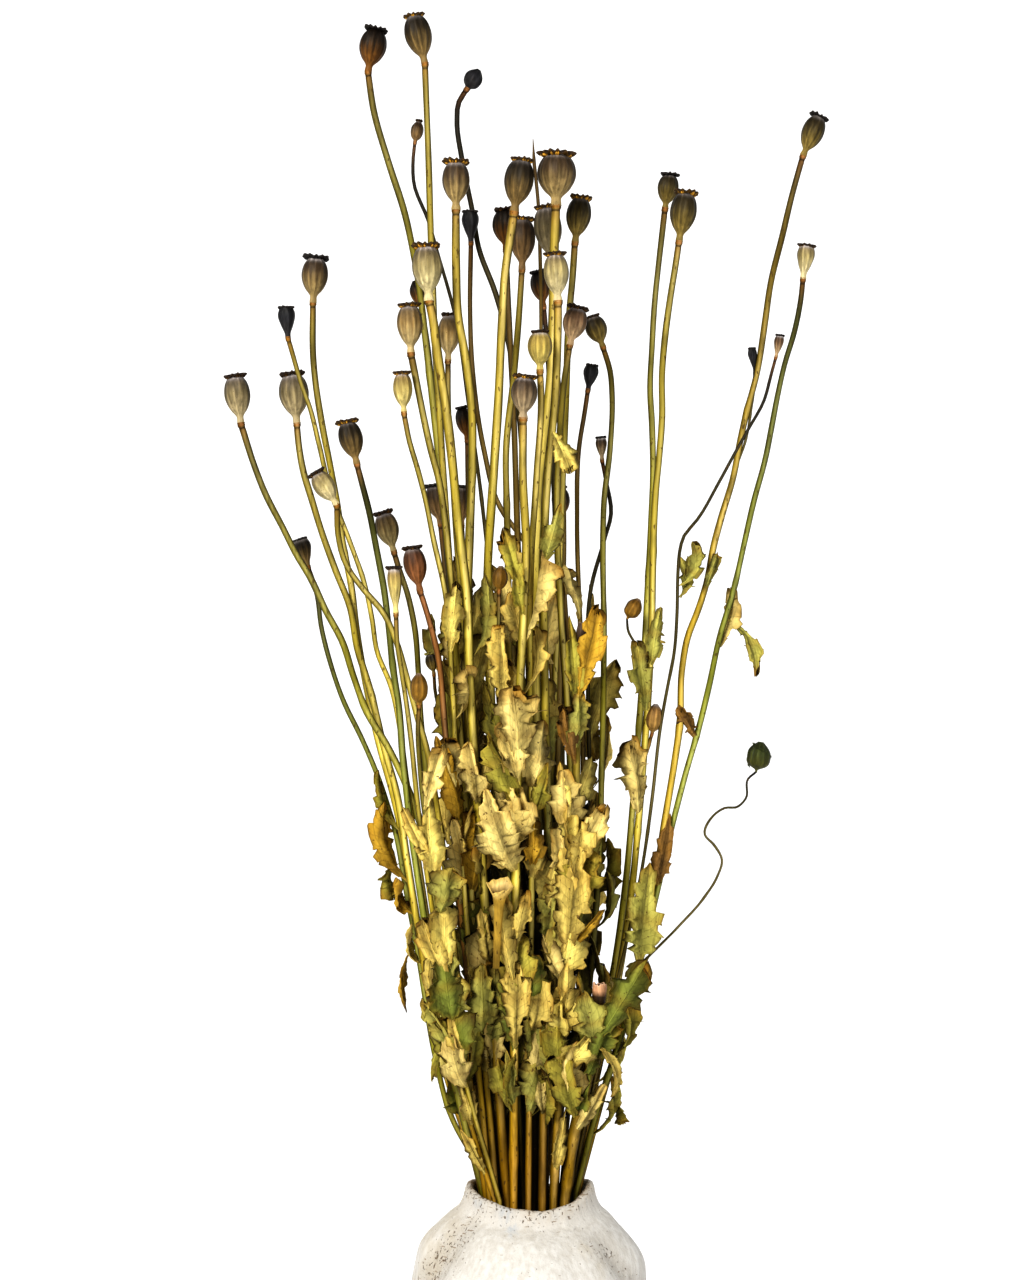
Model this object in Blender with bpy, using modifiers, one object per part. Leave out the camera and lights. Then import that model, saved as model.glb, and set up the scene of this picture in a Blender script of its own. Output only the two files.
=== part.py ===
"""Dried poppy stalks with their seed heads, standing together in a folded ceramic vase.

Metres, +Z up. The origin is the centre of the vase's foot, and the front of the bunch faces -Y.
Each stalk grew as one piece, so its stem, leaves, seed head and crown are one solid.
"""

from collections import namedtuple
from math import cos, pi, radians, sin, tan

import bmesh
import bpy
import numpy as np
from mathutils import Matrix, Vector
from mathutils.bvhtree import BVHTree

MM = 0.001

# The vase
VASE_HEIGHT = 0.200
FOOT_RADIUS = 0.064
FLOOR = 0.009
VASE_SIDES = 36
LIP_DIP = 5.5 * MM
NECK_ROOM = 0.0362

# The vase's creases: azimuth from the front under the neck and at the belly in degrees, depth as a
# share of the radius, and half width in degrees. Its bulges: azimuth, height, rise and half width.
CREASES = (
    (-54, -70, 0.105, 15),
    (46, 72, 0.085, 13),
    (20, 34, 0.030, 12),
    (112, 120, 0.100, 16),
    (165, 158, 0.090, 15),
    (-122, -128, 0.095, 16),
)
BULGES = (
    (-92, 0.166, 0.045, 22),
    (84, 0.152, 0.045, 24),
    (-2, 0.150, 0.030, 34),
)

# The front elevation: columns run right and rows run down, in steps of 0.75 mm
GRID = 0.75 * MM
AXIS_COLUMN = 530
RIM_ROW = 1192
EYE_COLUMN = 512
EYE_ROW = 640
EYE_DISTANCE = 1.8

# The bunch
HEAD_SPREAD = 0.120
SLOT_SPREAD = 0.034
SAMPLE_STEP = 0.006
STEM_GAP = 1.6 * MM
SLOT_GAP = 1.3 * MM
CHORD_ERROR = 1.0 * MM
FOOT_GAP = 0.6 * MM
STEM_SIDES_UP_TO = 3.4 * MM
RIBS = 9
CROWN_THICKNESS = 1.3 * MM
LEAF_THICKNESS = 0.8 * MM
LEAF_GAP = 0.6 * MM

# Seed head profiles from the swollen ring at the stem's top to the crown: (height, radius),
# as shares of the head's height and of its half width. A radius of None is the ring's own.
PROFILES = {
    "round": ((0.05, None), (0.15, 0.27), (0.30, 0.66), (0.50, 0.97), (0.70, 1.0), (0.89, 0.79), (1.0, 0.50)),
    "tapered": ((0.05, None), (0.13, 0.34), (0.42, 0.72), (0.80, 1.0), (1.0, 0.80)),
    "bud": ((0.06, None), (0.20, 0.72), (0.48, 1.0), (0.78, 0.80), (1.0, 0.22)),
    "stub": ((0.5, None), (1.0, None)),
}

Stalk = namedtuple("Stalk", "name kind ring crown width lip stem depth route branch", defaults=(None,))

# One row for each stalk: its name, kind of head, the elevation's (column, row) of the ring under
# its head and of its crown, the head's and crown's widths and the stem's width low down in mm,
# its depth in the bunch from -1 (front) to 1 (back), and the (column, row) points that its stem
# passes on the way down. A branch ends on the stem of the stalk that it names.
STALKS = (
    Stalk("tall_left", "round", (368, 72), (376, 30), 20.5, 18, 5.6, 0.30,
          ((374, 112), (388, 161), (405, 214), (415, 262), (428, 360), (441, 480), (455, 620), (470, 780), (485, 960))),
    Stalk("tallest", "round", (425, 64), (414, 16), 20, 16, 5.4, 0.12,
          ((427, 120), (429, 174), (431, 240), (435, 340), (443, 470), (452, 600), (462, 760), (478, 960))),
    Stalk("black_globe", "bud", (467, 89), (479, 70), 14.5, 0, 4.6, 0.62,
          ((459, 102), (457, 120), (462, 160), (473, 214), (479, 249), (495, 292), (511, 355), (522, 450),
           (527, 600), (530, 800), (532, 1000))),
    Stalk("small_bud_high", "bud", (415, 142), (419, 121), 9.6, 6, 3.0, 0.42,
          ((413, 162), (414, 184), (428, 220), (438, 254), (454, 311), (468, 400), (484, 520), (497, 680),
           (507, 860), (515, 1020))),
    Stalk("golden_crown_left", "round", (456, 210), (456, 162), 20, 19.5, 6.8, -0.35,
          ((456, 268), (458, 314), (466, 361), (471, 400), (472, 470), (470, 520), (467, 624), (468, 735),
           (476, 860), (488, 1010))),
    Stalk("black_urn", "tapered", (471, 243), (470, 212), 13, 12.5, 4.2, 0.48,
          ((470, 308), (473, 375), (484, 450), (500, 507), (531, 552), (548, 640), (556, 780), (556, 950))),
    Stalk("golden_crown_middle", "round", (514, 213), (522, 160), 21.5, 18, 7.0, -0.30,
          ((511, 232), (505, 273), (502, 324), (498, 405), (494, 470), (488, 560), (490, 680), (497, 830),
           (505, 1000))),
    Stalk("dark_behind_middle", "round", (506, 250), (504, 210), 18.5, 16, 5.0, 0.36,
          ((508, 300), (513, 400), (517, 520), (520, 700), (522, 900), (522, 1040))),
    Stalk("brown_middle", "round", (522, 270), (523, 219), 19, 17, 5.4, 0.02,
          ((519, 314), (514, 375), (506, 450), (507, 511), (509, 640), (512, 800), (517, 1000))),
    Stalk("largest", "round", (556, 206), (557, 154), 28.4, 28.8, 7.8, -0.22,
          ((554, 252), (553, 314), (551, 375), (545, 430), (540, 470), (536, 545), (535, 650), (537, 800),
           (536, 1000))),
    Stalk("grey_behind_largest", "round", (551, 262), (546, 207), 21, 19, 5.6, 0.25,
          ((554, 330), (560, 420), (563, 520), (560, 660), (556, 830), (549, 1000))),
    Stalk("olive_right_of_largest", "round", (575, 243), (581, 198), 18.5, 17, 5.6, 0.10,
          ((572, 283), (570, 304), (566, 400), (561, 520), (556, 650), (549, 820), (543, 1000))),
    Stalk("bare_spike", "spike", (534, 161), (533, 139), 0, 0, 3.2, 0.50,
          ((538, 201), (540, 252), (541, 350), (538, 460), (531, 600), (528, 760), (526, 960))),
    Stalk("pale_front", "round", (558, 302), (555, 254), 18, 17, 6.6, -0.62,
          ((558, 314), (557, 355), (555, 400), (547, 480), (544, 560), (545, 700), (548, 850), (545, 1010))),
    Stalk("dark_far_back", "round", (544, 307), (538, 272), 15, 14, 4.2, 0.75,
          ((548, 360), (552, 450), (557, 560), (562, 720), (560, 900), (551, 1040))),
    Stalk("pale_shoulder", "round", (429, 301), (426, 246), 21.5, 20.5, 7.4, -0.55,
          ((432, 314), (436, 344), (447, 416), (453, 470), (459, 532), (465, 580), (470, 680), (477, 800),
           (487, 930), (497, 1060))),
    Stalk("dark_small_left", "bud", (422, 306), (414, 281), 11.5, 0, 3.6, 0.30,
          ((428, 344), (436, 420), (444, 520), (452, 640), (461, 790), (478, 990))),
    Stalk("tan_left", "round", (411, 354), (409, 305), 18.5, 18, 5.6, -0.42,
          ((419, 395), (431, 450), (439, 481), (445, 522), (450, 570), (457, 680), (466, 820), (480, 1000))),
    Stalk("rosy_left", "round", (448, 361), (450, 315), 16.5, 14, 4.8, -0.10,
          ((448, 400), (452, 470), (458, 560), (470, 680), (484, 830), (500, 1010))),
    Stalk("grey_right", "round", (570, 345), (578, 308), 17.5, 16, 5.2, -0.34,
          ((565, 375), (560, 430), (557, 500), (560, 600), (568, 720), (572, 860), (563, 1020))),
    Stalk("nodding_right", "round", (603, 347), (592, 317), 16, 12, 4.8, 0.20,
          ((610, 371), (612, 395), (610, 450), (604, 501), (603, 545), (604, 640), (602, 760), (598, 880),
           (588, 1000))),
    Stalk("lime_front", "round", (540, 371), (540, 332), 17.5, 13.5, 5.2, -0.72,
          ((541, 400), (537, 470), (531, 560), (530, 700), (532, 850), (530, 1000))),
    Stalk("black_urn_right", "tapered", (588, 390), (592, 366), 11.5, 10, 4.0, 0.32,
          ((584, 416), (580, 440), (577, 520), (580, 620), (583, 750), (580, 900), (568, 1030))),
    Stalk("brown_front", "round", (523, 419), (525, 377), 18.5, 17.5, 6.6, -0.82,
          ((523, 481), (526, 540), (524, 603), (520, 685), (517, 800), (515, 930), (514, 1082))),
    Stalk("small_yellow_left", "round", (404, 413), (402, 373), 14, 13.5, 4.4, -0.50,
          ((409, 440), (417, 467), (424, 493), (434, 542), (445, 591), (452, 680), (458, 800), (470, 960))),
    Stalk("grey_cup_right", "tapered", (602, 460), (601, 438), 8.5, 9, 3.4, 0.22,
          ((606, 481), (611, 515), (605, 538), (592, 583), (588, 680), (590, 800), (586, 930), (574, 1050))),
    Stalk("flat_crown_left", "round", (313, 303), (316, 258), 20, 20, 5.4, 0.22,
          ((313, 355), (322, 424), (330, 465), (338, 508), (343, 545), (351, 585), (356, 625), (367, 690),
           (378, 740), (392, 790), (405, 850), (424, 960), (447, 1070))),
    Stalk("black_urn_left", "tapered", (288, 338), (286, 308), 12.5, 12, 4.0, -0.22,
          ((292, 352), (301, 383), (310, 408), (319, 444), (330, 490), (350, 542), (364, 582), (372, 619),
           (377, 651), (391, 686), (400, 730), (408, 790), (420, 870), (436, 970), (455, 1080))),
    Stalk("farthest_left", "round", (241, 424), (235, 376), 19.2, 18, 5.4, 0.0,
          ((254, 465), (266, 495), (282, 526), (296, 554), (310, 577), (326, 611), (342, 641), (353, 675),
           (369, 716), (385, 742), (404, 780), (417, 812), (430, 880), (444, 970), (461, 1080))),
    Stalk("grey_far_left", "round", (297, 424), (292, 374), 22, 20, 5.6, 0.16,
          ((298, 439), (303, 470), (312, 500), (322, 533), (335, 569), (350, 607), (358, 651), (369, 686),
           (386, 755), (396, 790), (407, 860), (420, 940), (440, 1050))),
    Stalk("dark_ribbed_left", "round", (357, 464), (347, 422), 17.5, 17, 5.2, -0.28,
          ((361, 480), (370, 515), (376, 546), (384, 590), (389, 630), (393, 668), (399, 708), (403, 760),
           (411, 830), (426, 930), (447, 1050))),
    Stalk("pale_leaning_left", "round", (337, 505), (316, 473), 15.5, 14.5, 4.8, -0.42,
          ((338, 534), (348, 568), (364, 590), (382, 611), (396, 641), (407, 678), (417, 716), (425, 742),
           (436, 801), (447, 880), (460, 1000))),
    Stalk("dark_cup_left", "tapered", (308, 567), (300, 540), 14, 12.5, 4.2, 0.36,
          ((317, 595), (321, 625), (330, 662), (344, 702), (361, 737), (380, 782), (395, 831), (406, 890),
           (419, 960), (434, 1050), (452, 1118))),
    Stalk("freckled_left", "round", (394, 552), (383, 513), 17, 16, 4.8, 0.02,
          ((398, 566), (407, 592), (415, 630), (418, 667), (421, 720), (427, 780), (437, 860), (452, 980))),
    Stalk("russet_left", "round", (420, 591), (412, 548), 16.5, 15, 5.0, -0.38,
          ((430, 623), (438, 656), (444, 716), (449, 780), (457, 870), (470, 1000))),
    Stalk("long_cup_left", "tapered", (396, 614), (394, 568), 10.5, 12.5, 4.0, -0.60,
          ((397, 641), (401, 668), (407, 708), (412, 748), (416, 790), (425, 860), (440, 960), (459, 1080))),
    Stalk("olive_behind_left", "round", (467, 440), (462, 408), 12.5, 11, 3.8, 0.55,
          ((468, 500), (471, 600), (480, 740), (492, 900))),
    Stalk("brown_behind_left", "round", (440, 524), (433, 486), 15.5, 15, 4.0, 0.62,
          ((446, 580), (456, 700), (470, 850), (487, 1000))),
    Stalk("brown_behind_left_second", "round", (462, 526), (462, 487), 14.5, 14, 4.0, 0.78,
          ((465, 590), (476, 720), (488, 870), (499, 1020))),
    Stalk("ochre_bud_middle", "bud", (499, 591), (501, 566), 11.2, 0, 3.4, -0.52,
          ((499, 640), (503, 740), (509, 880), (516, 1020))),
    Stalk("brown_behind_right", "round", (562, 520), (560, 488), 14, 12, 4.0, 0.66,
          ((564, 580), (570, 680), (574, 800), (568, 940), (557, 1050))),
    Stalk("ochre_bud_left", "bud", (419, 705), (419, 673), 13, 0, 3.8, -0.72,
          ((418, 725), (420, 770), (428, 840), (441, 930), (458, 1050))),
    Stalk("small_green_left", "round", (434, 674), (430, 654), 9, 8.5, 2.8, -0.12,
          ((435, 690), (439, 710), (447, 750), (455, 810), (466, 900), (480, 1020))),
    Stalk("dark_tall_right", "round", (665, 209), (670, 175), 16, 15.5, 5.0, 0.28,
          ((663, 226), (659, 260), (655, 299), (652, 347), (650, 389), (652, 425), (653, 473), (651, 522),
           (649, 562), (646, 620), (641, 700), (634, 790), (626, 880), (612, 980), (590, 1090))),
    Stalk("golden_crown_right", "round", (679, 242), (686, 193), 19.5, 19, 5.4, 0.0,
          ((676, 262), (670, 299), (665, 338), (662, 375), (662, 417), (659, 459), (656, 490), (654, 520),
           (653, 562), (652, 620), (648, 700), (641, 790), (633, 880), (618, 980), (594, 1090))),
    Stalk("olive_far_right", "round", (803, 156), (819, 117), 16.5, 15, 5.2, 0.12,
          ((792, 195), (782, 237), (771, 282), (765, 322), (756, 377), (747, 411), (740, 442), (733, 478),
           (722, 515), (714, 545), (706, 585), (698, 610), (688, 636), (682, 670), (680, 722), (674, 765),
           (665, 820), (652, 900), (631, 1000), (603, 1095))),
    Stalk("pale_cup_far_right", "tapered", (803, 279), (807, 246), 13, 14, 4.6, -0.20,
          ((802, 290), (794, 333), (785, 363), (778, 394), (772, 425), (765, 460), (754, 501), (745, 540),
           (732, 596), (720, 636), (709, 686), (698, 731), (685, 776), (672, 826), (662, 870), (643, 950),
           (620, 1040), (597, 1110))),
    Stalk("thread_right", "tapered", (776, 357), (780, 336), 7.2, 7.5, 2.6, -0.05,
          ((771, 375), (763, 403), (749, 428), (735, 453), (718, 484), (697, 520), (684, 536), (680, 550),
           (678, 573), (677, 613), (674, 654), (668, 685), (661, 723), (652, 800), (640, 880), (620, 970),
           (594, 1085))),
    Stalk("broken_tube", "stub", (581, 636), (584, 624), 8.4, 0, 6.6, -0.62,
          ((578, 660), (577, 740), (574, 850), (565, 980))),
    Stalk("cut_tube", "stub", (599, 996), (600, 984), 10.5, 0, 9.0, -0.50,
          ((597, 1020), (588, 1075), (577, 1120))),
    Stalk("black_pea_right", "tapered", (754, 369), (752, 349), 6.8, 6, 1.8, 0.12,
          ((754, 389), (751, 411), (746, 439), (735, 471)), "olive_far_right"),
    Stalk("wandering_thread", "bud", (756, 772), (761, 742), 18, 0, 1.8, -0.20,
          ((748, 779), (746, 798), (737, 807), (725, 808), (715, 814), (705, 835), (714, 845), (722, 860),
           (717, 877), (703, 899), (678, 927), (643, 966)), "pale_cup_far_right"),
    Stalk("hooked_bud_right", "bud", (627, 619), (639, 599), 12.5, 0, 1.8, -0.15,
          ((628, 630), (636, 645), (649, 672)), "golden_crown_right"),
    Stalk("papery_bud_right", "bud", (652, 734), (656, 704), 13.5, 0, 2.6, -0.10,
          ((646, 764),), "golden_crown_right"),
    Stalk("oval_bud_low", "bud", (587, 826), (589, 803), 11, 0, 2.4, 0.20,
          ((590, 838), (598, 866)), "nodding_right"),
)

Leaf = namedtuple("Leaf", "base tip width out")

# Leaves on the front of the bunch: the elevation's (column, row) of the base, on the nearest
# stem, and of the tip, the blade's width in mm and how far it bulges out from its stem in mm
FRONT_LEAVES = (
    Leaf((452, 655), (457, 586), 17, 13),
    Leaf((519, 768), (511, 686), 31, 18),
    Leaf((503, 872), (488, 786), 37, 24),
    Leaf((600, 706), (598, 606), 19, 14),
    Leaf((651, 716), (636, 640), 17, 7),
    Leaf((653, 668), (661, 606), 14, 7),
    Leaf((641, 818), (630, 737), 24, 10),
    Leaf((590, 968), (578, 826), 28, 18),
    Leaf((630, 966), (650, 862), 29, 14),
    Leaf((436, 985), (420, 914), 19, 12),
    Leaf((456, 1026), (444, 946), 26, 14),
    Leaf((486, 1042), (481, 962), 25, 20),
    Leaf((517, 1052), (515, 960), 22, 17),
    Leaf((547, 1060), (552, 994), 16, 15),
    Leaf((556, 1068), (596, 1020), 24, 20),
    Leaf((612, 1046), (648, 958), 25, 14),
    Leaf((590, 1132), (606, 1080), 14, 12),
    Leaf((475, 805), (467, 740), 20, 16),
    Leaf((452, 812), (444, 746), 17, 11),
    Leaf((443, 884), (430, 798), 19, 12),
    Leaf((706, 590), (717, 551), 10, 5),
    Leaf((682, 738), (679, 704), 14, 6),
    Leaf((658, 890), (669, 816), 16, 9),
    Leaf((508, 602), (503, 530), 14, 11),
    Leaf((518, 618), (517, 562), 12, 9),
    Leaf((562, 562), (559, 506), 18, 11),
    Leaf((561, 430), (571, 476), 16, 10),
    Leaf((491, 704), (503, 622), 20, 14),
    Leaf((561, 704), (568, 616), 16, 11),
    Leaf((566, 768), (564, 706), 15, 12),
    Leaf((586, 752), (580, 692), 18, 10),
    Leaf((540, 816), (546, 762), 15, 14),
    Leaf((600, 864), (607, 804), 18, 12),
    Leaf((413, 868), (402, 806), 12, 8),
    Leaf((536, 868), (533, 818), 16, 14),
    Leaf((523, 948), (527, 890), 16, 15),
    Leaf((482, 966), (479, 906), 13, 14),
    Leaf((553, 950), (554, 884), 17, 15),
    Leaf((603, 950), (607, 906), 10, 9),
    Leaf((567, 1018), (566, 956), 20, 16),
    Leaf((600, 1082), (614, 1010), 20, 13),
    Leaf((438, 1072), (423, 998), 16, 11),
    Leaf((454, 1068), (450, 1010), 17, 12),
    Leaf((476, 1086), (462, 1026), 13, 12),
    Leaf((472, 1126), (458, 1074), 17, 10),
    Leaf((510, 1106), (506, 1050), 14, 12),
    Leaf((539, 1116), (540, 1058), 15, 13),
    Leaf((576, 1120), (586, 1058), 15, 12),
    Leaf((558, 1176), (566, 1108), 11, 9),
    Leaf((499, 990), (498, 884), 19, 20),
    Leaf((468, 1176), (460, 1128), 9, 6),
)
SIDE_LEAVES = 24
SIDE_LEAF_HEIGHTS = (0.235, 0.660)

# Half widths along a blade's left and right edges, as shares of its widest, for each count of spans
LEAF_EDGES = {
    4: ((0.14, 1.0, 0.60, 0.84, 0.10), (0.14, 0.66, 1.0, 0.48, 0.10)),
    5: ((0.12, 0.88, 0.58, 1.0, 0.46, 0.09), (0.12, 0.55, 1.0, 0.60, 0.74, 0.09)),
    7: ((0.10, 0.60, 1.0, 0.62, 0.98, 0.50, 0.64, 0.08), (0.10, 0.86, 0.58, 1.0, 0.60, 0.84, 0.36, 0.08)),
}

TONES = {
    "dark": (("dark", "black", "nodding"), (0.105, 0.075, 0.045)),
    "pale": (("pale", "golden", "yellow", "ochre"), (0.52, 0.43, 0.24)),
    "green": (("olive", "green", "lime", "thread"), (0.27, 0.26, 0.11)),
    "tan": (("",), (0.36, 0.28, 0.17)),
}
CERAMIC = (0.80, 0.78, 0.74)

EYE_HEIGHT = VASE_HEIGHT + (RIM_ROW - EYE_ROW) * GRID
EYE_X = (EYE_COLUMN - AXIS_COLUMN) * GRID
UPRIGHT = [stalk for stalk in STALKS if stalk.branch is None]
BRANCHES = [stalk for stalk in STALKS if stalk.branch]
TOP_LEVEL = 1.11
LEVELS = np.arange(VASE_HEIGHT, TOP_LEVEL, SAMPLE_STEP)


# Sight lines of the elevation


def sight(column, row, y):
    """The point at depth y that shows at a column and row of the elevation."""
    step = GRID * (EYE_DISTANCE + y) / EYE_DISTANCE
    return Vector((EYE_X + (column - EYE_COLUMN) * step, y, EYE_HEIGHT + (EYE_ROW - row) * step))


def row_of(z, y):
    """The row at which a height z shows when it is at depth y."""
    return EYE_ROW + (EYE_HEIGHT - z) * EYE_DISTANCE / (GRID * (EYE_DISTANCE + y))


def column_of(x, y):
    """The column at which x shows when it is at depth y."""
    return EYE_COLUMN + (x - EYE_X) * EYE_DISTANCE / (GRID * (EYE_DISTANCE + y))


def smooth(places, knots, values):
    """A cubic through (knots, values) read at places: Hermite spans with mean slopes."""
    slopes = np.gradient(values, knots)
    k = np.clip(np.searchsorted(knots, places) - 1, 0, len(knots) - 2)
    span = knots[k + 1] - knots[k]
    t = np.clip((places - knots[k]) / span, 0, 1)
    near = values[k] * (1 + 2 * t) * (1 - t) ** 2 + slopes[k] * span * t * (1 - t) ** 2
    far = values[k + 1] * t * t * (3 - 2 * t) - slopes[k + 1] * span * t * t * (1 - t)
    return near + far


# Where each stalk stands


def stem_radius(stalk, share):
    """Stem radius at a share of its length, from 0 at the foot to 1 at the head."""
    return stalk.stem * MM / 2 * (1.06 - 0.18 * share ** 1.2)


def neck_slots():
    """Each upright stalk's (x, y) in the vase's neck, spread out until none touch."""
    wanted = []
    for stalk in UPRIGHT:
        (c1, r1), (c2, r2) = stalk.route[-2:]
        column = c2 + 0.8 * (c2 - c1) / (r2 - r1) * (RIM_ROW - r2)
        x = (column - AXIS_COLUMN) * GRID
        wanted.append((np.clip(x, -NECK_ROOM, NECK_ROOM), stalk.depth * SLOT_SPREAD))
    wanted = np.array(wanted)
    radii = np.array([stem_radius(stalk, 0) for stalk in UPRIGHT])
    reach = radii[:, None] + radii[None, :] + SLOT_GAP
    room = NECK_ROOM + 2.6 * MM - radii
    spots = wanted.copy()
    spots[:, 0] += 1e-5 * np.arange(len(spots))
    for step in range(900):
        apart = spots[:, None] - spots[None, :]
        distance = np.linalg.norm(apart, axis=2) + np.eye(len(spots))
        lack = np.clip(reach - distance, 0, None)
        np.fill_diagonal(lack, 0)
        spots += 0.35 * (apart / distance[..., None] * lack[..., None]).sum(axis=1)
        if step < 500:
            spots += 0.004 * (wanted - spots)
        length = np.linalg.norm(spots, axis=1)
        spots *= np.minimum(1, room / np.maximum(length, 1e-9))[:, None]
    return spots


def sections(y, slots):
    """For each level and stalk at depths y: its x, its radius and whether it reaches there."""
    x = np.zeros_like(y)
    radius = np.zeros_like(y)
    reaches = np.zeros(y.shape, dtype=bool)
    for i, stalk in enumerate(UPRIGHT):
        rows = row_of(LEVELS, y[:, i])
        end_row = row_of(VASE_HEIGHT, slots[i, 1])
        end_column = column_of(*slots[i])
        knots = np.array([stalk.ring[1]] + [row for column, row in stalk.route] + [end_row])
        columns = np.array([stalk.ring[0]] + [column for column, row in stalk.route] + [end_column])
        column = smooth(rows, knots, columns)
        height = stalk.ring[1] - stalk.crown[1]
        tilt = (stalk.crown[0] - stalk.ring[0]) / height
        above = rows < stalk.ring[1]
        column = np.where(above, stalk.ring[0] + (stalk.ring[1] - rows) * tilt, column)
        x[:, i] = EYE_X + (column - EYE_COLUMN) * GRID * (EYE_DISTANCE + y[:, i]) / EYE_DISTANCE
        share = np.clip((end_row - rows) / (end_row - stalk.ring[1]), 0, 1)
        slant = np.gradient(x[:, i], LEVELS)
        stem = stem_radius(stalk, share) * np.sqrt(1 + np.clip(slant, -1, 1) ** 2)
        head = max(stalk.width, stalk.lip) * MM / 2 + 0.4 * MM
        in_head = rows < stalk.ring[1] - 0.04 * height
        radius[:, i] = np.where(in_head, np.maximum(head, stem), stem)
        reaches[:, i] = rows > stalk.crown[1] - 6
    return x, radius, reaches


def front_to_back(x, radius, reaches, y, slots, margin):
    """Which of two stalks stays in front, for each run of levels where they cross in elevation."""
    count = len(UPRIGHT)
    order = np.zeros((len(LEVELS), count, count))
    for i in range(count):
        for j in range(i + 1, count):
            reach = radius[:, i] + radius[:, j] + margin
            close = (np.abs(x[:, i] - x[:, j]) < reach) & reaches[:, i] & reaches[:, j]
            edges = np.flatnonzero(np.diff(np.concatenate(([0], close.astype(int), [0]))))
            for start, stop in zip(edges[::2], edges[1::2]):
                lead = (y[start:stop, i] - y[start:stop, j]).mean()
                if start == 0:
                    lead = slots[i, 1] - slots[j, 1]
                side = 1.0 if lead > 0 else -1.0
                start = max(start - 3, 0)
                order[start:stop + 3, i, j] = side
                order[start:stop + 3, j, i] = -side
    return order


def settle_depths(slots, gaps):
    """Depths y[level, stalk] at which no two stalks touch, each as straight as it can be."""
    rise = (LEVELS - VASE_HEIGHT)[:, None]
    heads = np.array([stalk.depth * HEAD_SPREAD for stalk in UPRIGHT])
    tops = np.array([sight(*stalk.ring, stalk.depth * HEAD_SPREAD).z for stalk in UPRIGHT])
    share = np.clip(rise / (tops - VASE_HEIGHT), 0, 1)
    y = slots[:, 1] + (heads - slots[:, 1]) * share
    x, radius, reaches = sections(y, slots)
    order = front_to_back(x, radius, reaches, y, slots, STEM_GAP)
    ring_level = np.searchsorted(LEVELS, tops)
    for step in range(240):
        x, radius, reaches = sections(y, slots)
        apart_x = x[:, :, None] - x[:, None, :]
        apart_y = y[:, :, None] - y[:, None, :]
        reach = radius[:, :, None] + radius[:, None, :] + gaps
        both = reaches[:, :, None] & reaches[:, None, :]
        both[:, range(len(UPRIGHT)), range(len(UPRIGHT))] = False
        side = np.where(order == 0, np.where(apart_y > 0, 1.0, -1.0), order)
        need = np.sqrt(np.clip(reach ** 2 - apart_x ** 2, 0, None))
        lack = np.where(both & (need > 0), np.clip(need - side * apart_y, 0, None), 0) * side
        touching = np.maximum((lack != 0).sum(axis=2), 1)
        y += 0.62 * lack.sum(axis=2) / np.sqrt(touching)
        ease = 0.30 if step < 190 else 0.10
        y[1:-1] += ease * (y[:-2] + y[2:] - 2 * y[1:-1])
        y[0] = slots[:, 1]
        for i, level in enumerate(ring_level):
            lower = max(level - 1, 1)
            middle = y[lower:level + 6, i].mean()
            if step < 190:
                middle += 0.02 * (heads[i] - middle)
            y[lower:, i] = middle
    return y


def thin_out(points, error):
    """Drop the points of a line that stay within an error of its remaining spans."""
    start, end = points[0], points[-1]
    along = end - start
    share = np.clip(((points - start) @ along) / (along @ along), 0, 1)
    away = np.linalg.norm(points - start - share[:, None] * along, axis=1)
    worst = int(away.argmax())
    if away[worst] <= error or len(points) < 3:
        return np.array([start, end])
    left = thin_out(points[:worst + 1], error)
    right = thin_out(points[worst:], error)
    return np.concatenate((left[:-1], right))


def stalk_line(i, stalk, y, slots):
    """The stem's axis from the vase's floor to the ring, and the crown's centre."""
    x, radius, reaches = sections(y, slots)
    below = LEVELS < sight(*stalk.ring, y[-1, i]).z - 0.6 * SAMPLE_STEP
    upper = np.column_stack((x[below, i], y[below, i], LEVELS[below]))
    ring = np.array(sight(*stalk.ring, y[-1, i]))
    upper = thin_out(np.vstack((upper, ring)), CHORD_ERROR)
    foot = np.array((*slots[i], FLOOR + FOOT_GAP))
    return np.vstack((foot, upper)), np.array(sight(*stalk.crown, y[-1, i]))


def lacking_room(lines, slots):
    """How far each pair of thinned lines falls short of its room, at its worst level."""
    count = len(UPRIGHT)
    x = np.full((len(LEVELS), count), np.nan)
    y = x.copy()
    radius = np.zeros_like(x)
    for i, (stalk, (line, crown)) in enumerate(zip(UPRIGHT, lines)):
        whole = np.vstack((line[1:], crown))
        top = crown[2] + 1.5 * MM
        x[:, i] = np.where(LEVELS < top, np.interp(LEVELS, whole[:, 2], whole[:, 0]), np.nan)
        y[:, i] = np.where(LEVELS < top, np.interp(LEVELS, whole[:, 2], whole[:, 1]), np.nan)
        share = np.clip((LEVELS - VASE_HEIGHT) / (line[-1, 2] - VASE_HEIGHT), 0, 1)
        slant = np.gradient(x[:, i], LEVELS)
        stem = stem_radius(stalk, share) * np.sqrt(1 + np.clip(np.nan_to_num(slant), -1, 1) ** 2)
        head = max(stalk.width, stalk.lip) * MM / 2
        radius[:, i] = np.where(LEVELS > line[-1, 2], head, stem)
    apart = np.hypot(x[:, :, None] - x[:, None, :], y[:, :, None] - y[:, None, :])
    reach = radius[:, :, None] + radius[:, None, :] + 0.45 * MM
    lack = np.nan_to_num(reach - apart)
    lack[:, range(count), range(count)] = 0
    return np.clip(lack, 0, None).max(axis=0)


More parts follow.
